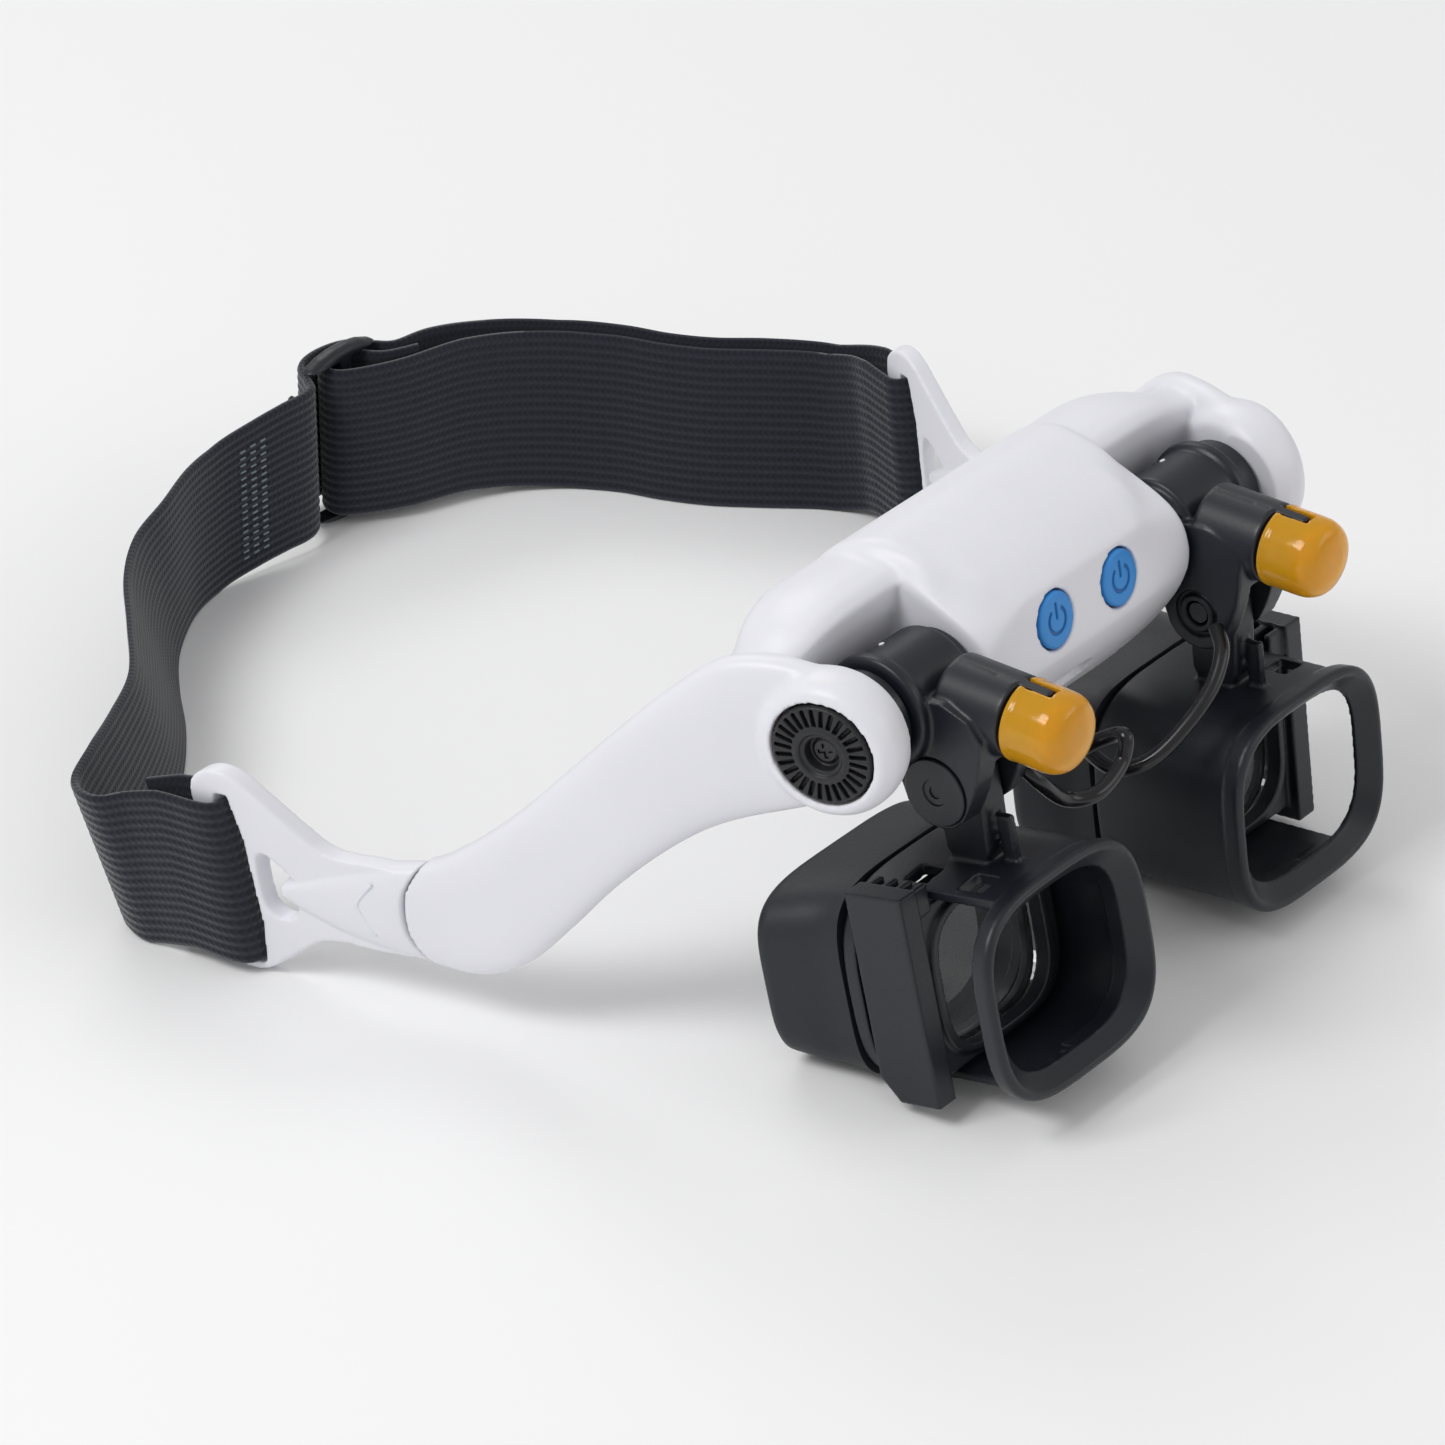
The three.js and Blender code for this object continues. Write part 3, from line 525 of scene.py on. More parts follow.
def lamp_cable(hand):
    path = [Vector(p) for p in catmull(CABLES[hand], 12)]
    piece = piece_of(f"cable_{hand}", loft(tube_along(path, CABLE_RADIUS)))
    finish_piece(piece, cable_black, None, [f"lamp_cable_{hand}"])
    crisp(piece, 60)
    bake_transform(piece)


for hand in SIDES:
    lamp_cable(hand)

# ------------------------------------------------------------------ white casing
MIDDLE = [(33, 33.8), (29.5, 33.2), (25.1, 37.4), (21, 43), (18.9, 46.6), (17.5, 50.2), (17.5, 52),
          (18.3, 56), (19.2, 60.4), (20.4, 62), (25, 64.6), (32, 66.4), (40, 66.6), (46.5, 62.6), (48, 58),
          (44, 48)]
ENDS = [(33, 33.8), (29.5, 33.2), (24.8, 38.4), (21.2, 43.3), (18.6, 47.8), (17.4, 51.2), (17.2, 53.6),
        (17.7, 56.2), (19.1, 58.5), (21.8, 60.4), (26.8, 62.2), (33.5, 63.6), (40, 64.8), (46.5, 62),
        (48, 57.6), (44, 48)]
CREASE = (11.3, 20.6)        # |x| where the cheek begins at the front face, and at the notch's rear edge
BRIDGE = [(33.2, 63.4), (40, 64.8), (46.5, 62.2), (48, 57.6), (43.5, 47.4), (37, 44.2), (34, 47),
          (34.6, 53.2)]
BRIDGE_END = [(33.2, 61.2), (38.6, 61.2), (43.2, 58.2), (44.4, 54), (41, 45), (36.6, 42.4), (33.4, 45),
              (33.6, 53.2)]
BRIDGE_STOPS = [(21.4, 0), (32, 0), (38, 0.3), (42, 0.75), (46.4, 1)]
ARM = [(45.2, 27, 63, 27, 43.1), (46.9, 33.5, 63.4, 31.5, 41.1), (49.4, 41, 61.6, 37, 38.8),
       (51.8, 47.5, 55.8, 41.8, 36), (54.8, 54, 48.4, 47, 31.4), (57.8, 60, 41, 52.3, 25.4),
       (60.4, 65, 34.8, 57.4, 18.4), (62.8, 69.5, 30, 62.7, 12), (64.6, 73.8, 26.2, 69, 8.4),
       (65.8, 77.2, 23.8, 75.2, 7.8), (67.2, 82, 22.2, 81.2, 8.2)]
ARM_THICKNESS = 5.4
SEAM = [(77.6, 27), (78, 23.6), (79.5, 19.5), (79.8, 16.3), (79, 12.4), (77, 9.2), (75, 6.8), (73, 3)]
CAVITY = [(21.4, 53.5), (21.2, 57.6), (27, 61.2), (38, 63), (43, 60.6), (44.2, 56.6), (52, 54),
          (41, 34.5), (35.2, 40.6), (30.4, 38.4), (25.4, 45.6), (22.4, 49.6)]
BUTTON = {"x": 7.1, "half": (3.65, 4.0)}
USB = {"x": -0.5, "y": 21.6, "z": 42.8, "lean": 36}
DISC_RIM = [(0, 40.9), (8.2, 41.1), (9.7, 42.4), (10.2, 44.9), (10, 47.4), (9.1, 49), (8.3, 49.5),
            (0, 49.5)]


def brow_outline(x):
    outline = []
    for (y, z), end in zip(MIDDLE, ENDS):
        back = min(1, max(0, (y - 17.4) / 15.7))
        start = CREASE[0] + (CREASE[1] - CREASE[0]) * back
        t = min(1, max(0, (abs(x) - start) / (NOTCH[0] - start)))
        outline.append(mix_points((y, z), end, t))
    return [(x, y, z) for y, z in catmull(outline, 4, closed=True)]


def arm_ring(row, side, thickness, count=48):
    x, top_y, top_z, low_y, low_z = row
    middle = Vector((side * x, (top_y + low_y) / 2, (top_z + low_z) / 2))
    rise = Vector((0, (top_y - low_y) / 2, (top_z - low_z) / 2))
    ring = []
    for i in range(count):
        a = 2 * math.pi * i / count
        c, s = math.cos(a), math.sin(a)
        across = 0.5 * thickness * math.copysign(abs(c) ** 0.6, c)
        up = math.copysign(abs(s) ** 0.6, s)
        ring.append(middle + Vector((side * across, -0.28 * across, 0)) + up * rise)
    return ring


def on_disc(shape, side):
    """A shape turned about X at |x| as on the CAD disc, set square to the toed-in end disc."""
    place = Matrix.Translation((side * DISC_X, HINGE.y, HINGE.z)) @ Matrix.Rotation(
        -side * math.radians(DISC_TOE), 4, "Z")
    if side < 0:
        place = place @ Matrix.Rotation(math.pi, 4, "Z")
    return moved(shape, place @ Matrix.Translation((-DISC_X, 0, 0)))


def on_face(shape, x):
    """A shape drawn round the -Y axis, set square to the button face at x."""
    place = Matrix.Translation((x, FACE_Y, FACE_Z))
    return moved(shape, place @ Matrix.Rotation(-math.radians(FACE_LEAN), 4, "X"))


def on_usb(shape):
    place = Matrix.Translation((USB["x"], USB["y"], USB["z"]))
    return moved(shape, place @ Matrix.Rotation(math.radians(USB["lean"]), 4, "X"))


def seam_side(rear, gap=0.0):
    """The space in front of, or behind, the curved seam between an arm and its hook."""
    curve = [(y + gap, z) for y, z in catmull(SEAM, 6)]
    far = 140 if rear else 20
    return [(far, 60)] + curve + [(far, -20)]


def casing():
    shapes = [loft([brow_outline(x) for x in spread(-NOTCH[0], NOTCH[0], 65)])]
    for side in SIDES.values():
        stops = catmull(BRIDGE_STOPS, 5)
        shapes.append(loft([
            [(side * x, *mix_points(a, b, t)) for a, b in
             zip(catmull(BRIDGE, 3, closed=True), catmull(BRIDGE_END, 3, closed=True))] for x, t in stops]))
        shapes.append(on_disc(turned(catmull(DISC_RIM, 1)), side))
        shapes.append(loft([arm_ring(row, side, ARM_THICKNESS) for row in catmull(ARM, 6)]))
    piece = piece_of("casing_shell", *shapes)
    skin(piece, 0.5, 9)
    cut(piece, prism(CAVITY, -17, 17))
    cut(piece, on_usb(across_y(rounded([(-4.2, -1.9), (4.2, -1.9), (4.2, 1.9), (-4.2, 1.9)], 3), -4, 7)))
    cut(piece, on_usb(across_y(rounded([(-5.2, -2.8), (5.2, -2.8), (5.2, 2.8), (-5.2, 2.8)], 3), -4, 0.5)))
    for side in SIDES.values():
        hole = across_y(ellipse(BUTTON["half"][0] + 0.3, BUTTON["half"][1] + 0.3), -3, 5)
        cut(piece, on_face(hole, side * BUTTON["x"]))
        cut(piece, box(*sorted((side * NOTCH[0], side * NOTCH[1])), 8, 33.1, 30, 80))
        cut(piece, rod(SHAFT_HOLE, *sorted((side * 18.2, side * (DISC_X + 0.5))), HINGE.y, HINGE.z))
        cut(piece, on_disc(turned([(0, 46.5), (7.5, 46.5), (7.5, 52), (0, 52)]), side))
        cut(piece, prism(seam_side(rear=True), *sorted((side * 58, side * 80))))
    skin(piece, 0.33, 2, 0.5)
    finish_piece(piece, white, "frame", ["front_casing"])


casing()

# ------------------------------------------------------------------ strap hooks
HOOK = [(78, 21.8), (84, 21.9), (91.3, 21.2), (96, 24.4), (101, 28.2), (104.6, 30.9), (107.8, 31.4),
        (110.6, 29.6), (110.6, 26.2), (105.9, 3.6), (104.6, 1), (102.4, 0.35), (99.8, 0.9), (95.6, 4.8),
        (91.6, 8.2), (84, 8), (76.6, 8.4)]
HOOK_SLOT = [(104.4, 27.6), (108.1, 27.6), (103.2, 1.8), (99.5, 1.8)]
HOOK_WINDOW = [(101.6, 20.4), (96.9, 17.3), (95.2, 14.5), (95.9, 9.6), (100, 10), (101.2, 15)]
TONGUE = [(65.4, 75, 23.9, 74, 7.6), (66.6, 78.6, 22.8, 77.8, 8.2), (68.2, 83, 21.8, 82, 8.8),
          (70, 89.5, 19.6, 89, 9.6), (71.6, 95, 17, 94.8, 11.6), (72.5, 98.3, 15.2, 98.2, 13.4)]


def hook_x(y):
    """How far the middle of the flared hook lies from the centre at y."""
    return 67.1 + 0.3 * (y - 79)


def on_hook(outline, half, side):
    """A plate of (y, z) outline in the hook's flared plane."""
    rings = []
    for x in (-half, half):
        rings.append([(side * (x + hook_x(y)), y, z) for y, z in outline])
    return loft(rings)


def strap_hook(hand, side):
    tongue = [arm_ring(row, side, thickness) for row, thickness in
              zip(catmull(TONGUE, 4), spread(5.3, 4.2, 21))]
    piece = piece_of(f"hook_{hand}", on_hook(rounded(HOOK, 2), 1.55, side))
    cut(piece, on_hook(rounded(HOOK_WINDOW, 2), 4, side))
    skin(piece, 0.3, 4)
    whole = piece_of(f"hook_{hand}_tongue", loft(tongue))
    joined = piece.modifiers.new("join", "BOOLEAN")
    joined.object, joined.operation, joined.solver = whole, "UNION", "MANIFOLD"
    apply_modifiers(piece)
    bpy.data.objects.remove(whole)
    cut(piece, on_hook(rounded(HOOK_SLOT, 1), 4, side))
    cut(piece, prism(seam_side(rear=False, gap=0.28), *sorted((side * 58, side * 80))))
    skin(piece, 0.24, 3, 0.5)
    finish_piece(piece, white, "frame", [f"strap_hook_{hand}"])
    mark = [(side * (hook_x(y) + 2.35), y, z) for y, z in
            catmull([(84.2, 19.4), (86.2, 16.2), (86, 14.6), (83.6, 11.4)], 8)]
    ridge = piece_of(f"hook_mark_{hand}", loft(tube_along([Vector(p) for p in mark], 0.3, 12)))
    finish_piece(ridge, white, "frame")


for hand, side in SIDES.items():
    strap_hook(hand, side)

# ------------------------------------------------------------------ rear cover, buttons, socket, knobs
COVER = [(43.9, 56.1), (46.6, 55.3), (37.7, 40.7), (36.2, 41.6)]
COVER_LEAN = 31.4
COVER_MIDDLE = Vector((0, 42.2, 48.1))


def on_cover(shape, x, up):
    """A shape drawn round Z, set square to the rear cover's outer face."""
    lean = math.radians(COVER_LEAN)
    place = Matrix.Translation(COVER_MIDDLE + Vector((x, up * math.sin(lean), up * math.cos(lean))))
    return moved(shape, place @ Matrix.Rotation(-math.pi / 2 - lean, 4, "X"))


def rear_cover():
    piece = piece_of("cover_plate", prism(COVER, -16.6, 16.6))
    places = [(x, up) for x in (-13.6, 13.6) for up in (-5.4, 5.4)]
    for x, up in places:
        sink = [(0, -0.7), (1.55, -0.7), (1.75, 0.4), (0, 0.4)]
        cut(piece, on_cover(turned([(r, d) for r, d in sink], "Y"), x, up))
    skin(piece, 0.2, 2, 0.5)
    finish_piece(piece, white, "frame", ["rear_cover"])


def power_mark(x, depth0, depth1, grow=0.0):
    """The generic power sign on a button: an open ring and a bar, as prisms square to the face."""
    half = 0.24 + grow
    arcs = [math.radians(a) for a in spread(125, 415, 40)]
    outer = [((1.75 + half) * math.cos(a), (1.85 + half) * math.sin(a)) for a in arcs]
    inner = [((1.75 - half) * math.cos(a), (1.85 - half) * math.sin(a)) for a in reversed(arcs)]
    bar = [(-half, 0.1), (half, 0.1), (half, 2.6), (-half, 2.6)]
    return [on_face(across_y(outline, depth0, depth1), x) for outline in (outer + inner, bar)]


def button(hand, side):
    x = side * BUTTON["x"]
    a, b = BUTTON["half"]
    crown = [(a - inset, b - inset, y) for inset, y in
             ((0, 2.7), (0, 0.1), (0.12, -0.12), (0.35, -0.25), (0.8, -0.3))]
    rings = [[(u, y, v) for u, v in ellipse(w, h, 72)] for w, h, y in crown]
    piece = piece_of(f"button_cap_{hand}", on_face(loft(rings), x))
    for shape in power_mark(x, -1, 0.05):
        cut(piece, shape)
    skin(piece, 0.11, 1, 0.5)
    finish_piece(piece, blue, f"button_{hand}", [f"button_{hand}"])
    mark = piece_of(f"button_sign_{hand}", *power_mark(x, -0.08, 0.3, -0.02))
    finish_piece(mark, mark_blue, f"button_{hand}", flat=True)


def side_knob(hand, side):
    profile = [(0, 46.85), (6.95, 46.85), (7.15, 47.1), (7.15, 49.1), (6.95, 49.6), (6.6, 49.72),
               (3.9, 49.72), (3.8, 49.85), (3.4, 49.9), (3.15, 49.75), (3.0, 49.4), (2.5, 49.3),
               (2.3, 47.9), (0, 47.9)]
    piece = piece_of(f"knob_{hand}", on_disc(turned(profile, segments=168), side))
    count = 28
    for i in range(count):
        turn = Matrix.Rotation(2 * math.pi * i / count, 4, "X")
        cut(piece, on_disc(moved(box(48.8, 51.5, -0.33, 0.33, 4.2, 6.7), turn), side))
    skin(piece, 0.13, 1, 0.5)
    finish_piece(piece, knob_black, f"knob_{hand}", [f"side_knob_{hand}"])
    head = piece_of(f"knob_screw_{hand}", on_disc(turned(
        [(0, 47.9), (1.9, 47.9), (1.9, 48.1), (1.5, 48.3), (0, 48.35)], segments=48), side))
    for turn in (0.3, 0.3 + math.pi / 2):
        cut(head, on_disc(moved(box(48.05, 49, -1.1, 1.1, -0.3, 0.3), Matrix.Rotation(turn, 4, "X")), side))
    finish_piece(head, steel_dark, f"knob_{hand}", flat=True)
    crisp(head)


rear_cover()
for hand, side in SIDES.items():
    button(hand, side)
    side_knob(hand, side)


# ------------------------------------------------------------------ lamp units
def on_lamp(shape, side):
    """A shape turned about Y, set on the lamp's axis with its zero at the tube's rim."""
    place = Matrix.Translation((side * LAMP.x, LAMP.y, LAMP.z))
    return moved(shape, place @ Matrix.Rotation(-math.radians(LAMP_RISE), 4, "X"))


def at_hinge(shape, side):
    return moved(shape, Matrix.Translation((0, HINGE.y, HINGE.z)) @ Matrix.Scale(side, 4, (1, 0, 0)))


BRACKET = [(9.6, 55.6), (9.6, 48.6), (10.7, 43.8), (12.4, 39.7), (16.5, 38), (20.6, 39.7), (22.3, 43.8),
           (24.6, 46.2), (25.4, 53.2), (18, 58)]


def lamp_bracket(hand, side):
    barrel = [(0, 22.8), (6.0, 22.8), (6.4, 23.1), (6.4, 24.4), (7.2, 24.7), (7.4, 25), (7.4, 34.9),
              (7.9, 35.2), (8.1, 35.5), (8.1, 36.7), (7.9, 37), (7.3, 37.2), (0, 37.2)]
    tube = [(0, -4.6), (4.65, -4.6), (4.65, 0.3), (5.5, 0.3), (5.65, 0.5), (5.65, 10.4), (5.2, 10.9),
            (0, 10.9)]
    x0, x1 = sorted((side * 23, side * 35.3))
    rib = box(side * LAMP.x - 0.8, side * LAMP.x + 0.8, 3, LAMP.y + 0.5, LAMP.z + 4, LAMP.z + 5.6)
    piece = piece_of(f"bracket_{hand}", at_hinge(turned(barrel), side), on_lamp(turned(tube, "Y"), side),
                     rib, prism(rounded(BRACKET, 1), x0, x1))
    skin(piece, 0.24, 2)
    cut(piece, rod(SHAFT_HOLE, *sorted((side * 20, side * 39)), HINGE.y, HINGE.z))
    cut(piece, box(*sorted((side * 25.8, side * 31.4)), 6, 28, 30, 49.4))
    cut(piece, rod(PIN_HOLE, *sorted((side * 21, side * 37)), PIVOT.y, PIVOT.z))
    cut(piece, on_lamp(turned([(0, -9), (3.95, -9), (3.95, 3), (0, 3)], "Y"), side))
    cut(piece, box(side * LAMP.x - 1.0, side * LAMP.x - 0.62, 8.4, 18.4, LAMP.z + 5.2, LAMP.z + 7))
    cut(piece, rod(5.0, *sorted((side * 35.0, side * 36)), PIVOT.y, PIVOT.z))
    ring = turned([(2.7, 22.6), (3.5, 22.6), (3.5, 23.7), (2.7, 23.7)])
    cut(piece, moved(ring, Matrix.Translation((0, PIVOT.y, PIVOT.z)) @ Matrix.Scale(side, 4, (1, 0, 0))))
    skin(piece, 0.2, 2, 0.5)
    finish_piece(piece, black, f"lamp_unit_{hand}", [f"lamp_bracket_{hand}"])
    dot = [(0, 7.35), (0.42, 7.35), (0.36, 7.55), (0, 7.6)]
    place = Matrix.Translation((side * 31.2, HINGE.y, HINGE.z)) @ Matrix.Rotation(math.radians(62), 4, "X")
    white_dot = piece_of(f"index_dot_{hand}", moved(turned(dot, "Y", 32), place))
    finish_piece(white_dot, white, f"lamp_unit_{hand}")


def barrel_drum(hand, side):
    profile = [(2.6, 37.6), (6.45, 37.6), (6.7, 37.85), (6.7, 40.3), (6.45, 40.55), (2.6, 40.55)]
    piece = piece_of(f"drum_{hand}", at_hinge(turned(profile), side))
    finish_piece(piece, black, "frame", [f"barrel_drum_{hand}"])
    crisp(piece)


def pivot_cover(hand, side):
    profile = [(0, 35.2), (4.85, 35.2), (4.85, 35.5), (4.7, 35.62), (1.9, 35.62), (1.8, 35.4), (0.95, 35.4),
               (0.9, 34.6), (0, 34.6)]
    place = Matrix.Translation((0, PIVOT.y, PIVOT.z)) @ Matrix.Scale(side, 4, (1, 0, 0))
    piece = piece_of(f"pivot_disc_{hand}", moved(turned(profile), place))
    finish_piece(piece, black, f"lamp_unit_{hand}", [f"pivot_cover_{hand}"])
    crisp(piece)


def lamp_cap(hand, side):
    outer = catmull([(5.65, -1.2), (5.65, -5.6), (5.3, -7.3), (4.3, -8.5), (2.3, -9.1), (0, -9.2)], 4)
    inner = catmull([(0, -8.2), (2.1, -8.1), (3.7, -7.6), (4.6, -6.6), (4.95, -5.2), (4.95, -0.2)], 4)
    profile = [(5.55, -0.2), (5.75, -0.35), (5.75, -1.0)] + outer + inner
    piece = piece_of(f"cap_shell_{hand}", on_lamp(turned(profile, "Y", 112), side))
    slot = box(side * LAMP.x - 1.15, side * LAMP.x + 1.15, 2.4, LAMP.y + 3, LAMP.z + 3.8, LAMP.z + 8)
    cut(piece, slot)
    skin(piece, 0.15, 2, 0.5)
    finish_piece(piece, amber, f"cap_{hand}", [f"lamp_cap_{hand}"])


def led_holder(hand, side):
    bands = []
    for i in range(4):
        y = -5.8 + i * 1.5
        bands += [(3.6, y), (3.6, y + 1.0), (3.3, y + 1.1), (3.3, y + 1.4)]
    profile = [(0, 2.4), (3.6, 2.4)] + bands[::-1] + [(3.4, -6), (2.9, -6), (2.2, -3.6), (0, -3.6)]
    piece = piece_of(f"lamp_sleeve_{hand}", on_lamp(turned(profile, "Y"), side))
    finish_piece(piece, reflector, f"lamp_unit_{hand}", [f"led_holder_{hand}"])
    crisp(piece)
    turns = [math.radians(a) for a in spread(0, 90, 12)]
    dome = [(1.8 * math.cos(a), -4.6 - 1.2 * math.sin(a)) for a in turns]
    led = piece_of(f"led_dome_{hand}", on_lamp(turned([(0, -4), (1.8, -4)] + dome, "Y", 48), side))
    finish_piece(led, resin, f"lamp_unit_{hand}", [f"led_{hand}"])


for hand, side in SIDES.items():
    lamp_bracket(hand, side)
    barrel_drum(hand, side)
    pivot_cover(hand, side)
    lamp_cap(hand, side)
    led_holder(hand, side)

# ------------------------------------------------------------------ eye units
TUBE = {"z": -27, "half": (16.9, 14.7)}
LENS_Y = 4.4


def on_eye(shape, hand):
    """A shape of the eye unit, drawn with its zero at the tilt pivot and the tube's axis along Y."""
    return moved(shape, Matrix.Translation(PIVOT) @ Matrix.Rotation(-math.radians(TILT[hand]), 4, "X"))


def eye_rings(side, *stops):
    """Lofted rounded squares, as (y, half width, half height) with an optional height of the middle."""
    rings = []
    for y, half_width, half_height, *z in stops:
        rings.append(squircle(side * EYE_X, y, z[0] if z else TUBE["z"], half_width, half_height))
    return rings


def eye_tube(hand, side):
    x = side * EYE_X
    ear_outline = [(-4, 0), (-2.8, 2.8), (0, 4), (2.8, 2.8), (4, 0), (4, -14), (-3.2, -14)]
    ear = prism(rounded(ear_outline, 1), *sorted((side * 26.2, side * 31)))
    rib = box(*sorted((side * 28, side * 29.2)), -6.4, -4, -14, -5.5)
    body = loft(eye_rings(side, (-9.7, 16.7, 14.5), (-9.4, 16.9, 14.7), (12.0, 16.9, 14.7),
                          (12.2, 16.7, 14.5)))
    rim = loft(eye_rings(side, (-9.6, 16.5, 14.3), (-10, 17, 14.9), (-12.2, 17.2, 15.1),
                         (-12.7, 16.9, 14.8), (-12.9, 16.5, 14.4)))
    piece = piece_of(f"tube_{hand}", *(on_eye(shape, hand) for shape in (body, rim, ear, rib)))
    skin(piece, 0.27, 2)
    low_side, high_side = sorted((x, side * 60))
    outer_low, outer_high = sorted((side * (EYE_X + 9.5), side * 60))
    for shape in (
            loft(eye_rings(side, (-20, 13.6, 11.7), (20, 13.6, 11.7))),
            loft(eye_rings(side, (-13.4, 16.6, 14.5), (-12.8, 16, 13.9), (-10.6, 13.7, 11.8))),
            loft(eye_rings(side, (-7.8, 15.2, 13), (9.9, 15.2, 13))),
            box(low_side, high_side, -9.9, 9.9, -39.8, -14.2),
            box(outer_low, outer_high, -9.9, 9.9, -60, -8)):
        cut(piece, on_eye(shape, hand))
    for y in (-4.6, 4.6):
        window = box(*sorted((side * 33.2, side * 37.4)), y - 1.9, y + 1.9, -16, -10)
        cut(piece, on_eye(window, hand))
    cut(piece, on_eye(rod(PIN_HOLE, *sorted((side * 20, side * 40)), 0, 0), hand))
    skin(piece, 0.24, 2, 0.45)
    finish_piece(piece, black, f"eye_unit_{hand}", [f"eye_tube_{hand}"])
    turns = [math.radians(a) for a in spread(0, 90, 12)]
    dome = [(0, 3.2)] + [(2.2 * math.cos(a), -2.2 * math.sin(a)) for a in turns]
    dome.insert(1, (2.2, 3.2))
    place = Matrix.Translation((side * 28.6, -4.2, -16.2)) @ Matrix.Rotation(math.pi / 2, 4, "X")
    boss = piece_of(f"tube_boss_{hand}", on_eye(moved(turned(dome, "Y", 48), place), hand))
    finish_piece(boss, black, f"eye_unit_{hand}")


def lens_cartridge(hand, side):
    x = side * EYE_X
    plate = prism([(-0.1, -41.6), (6.6, -41.6), (9.4, -38.2), (9.4, -10.8), (-0.1, -10.8)],
                  *sorted((side * 42.6, side * 46.3)))
    ribs = [box(*sorted((side * 39.6, side * 43.4)), y, y + 1.1, -15.4, -11.2) for y in (0.6, 3, 5.4, 7.8)]
    body = loft(eye_rings(side, (1.4, 14.3, 12.1), (1.7, 14.5, 12.3), (7.3, 14.5, 12.3), (7.6, 14.3, 12.1)))
    shelf = box(*sorted((x, side * 43)), 1.4, 7.6, -39.2, -14.8)
    lip = loft(eye_rings(side, (0.6, 12.2, 11.2), (1.6, 12.6, 11.6)))
    piece = piece_of(f"cartridge_{hand}", *(on_eye(s, hand) for s in (plate, body, shelf, lip, *ribs)))
    skin(piece, 0.22, 1)
    cut(piece, on_eye(loft(eye_rings(side, (-3, 10.9, 10.2), (12, 10.9, 10.2))), hand))
    cut(piece, on_eye(loft(eye_rings(side, (LENS_Y - 1.4, 11.9, 11.2), (LENS_Y + 1.4, 11.9, 11.2))), hand))
    skin(piece, 0.2, 2, 0.5)
    finish_piece(piece, black, f"cartridge_{hand}", [f"lens_cartridge_{hand}"])


def lens(hand, side):
    radii = spread(0, 1, 10)
    front = [(LENS_Y - 1.9 + 0.5 * r * r, 11.5 * max(r, 0.02), 10.8 * max(r, 0.02)) for r in radii]
    rear = [(LENS_Y + 1.9 - 0.5 * r * r, 11.5 * max(r, 0.02), 10.8 * max(r, 0.02)) for r in reversed(radii)]
    piece = piece_of(f"lens_blank_{hand}", on_eye(loft(eye_rings(side, *front, *rear)), hand))
    finish_piece(piece, glass, f"cartridge_{hand}", [f"lens_{hand}"])
    crisp(piece)


def eye_cup(hand, side):
    outside = catmull([(12.6, 17, 14.7, -26.9), (16, 17.3, 14.2, -26.7), (20, 18.4, 13.6, -26.4),
                       (23.6, 19.3, 13, -26.1)], 5)
    lip = [(24.4, 19.3, 12.9, -26.05), (24.9, 19.0, 12.6, -26), (25.2, 18.5, 12.2, -26),
           (24.9, 18.1, 11.9, -26)]
    inside = catmull([(23.6, 17.7, 11.6, -26.1), (20, 17.1, 12, -26.4), (16, 16.4, 12.5, -26.7),
                      (12.6, 15.4, 12.7, -26.9)], 5)
    rings = [squircle(side * EYE_X, y, z, w, h, power=CUP_POWER) for y, w, h, z in outside + lip + inside]
    piece = piece_of(f"cup_{hand}", on_eye(loft(rings, looped=True), hand))
    finish_piece(piece, rubber, f"eye_unit_{hand}", [f"eye_cup_{hand}"])
    crisp(piece, 50)


for hand, side in SIDES.items():
    eye_tube(hand, side)
    lens_cartridge(hand, side)
    lens(hand, side)
    eye_cup(hand, side)

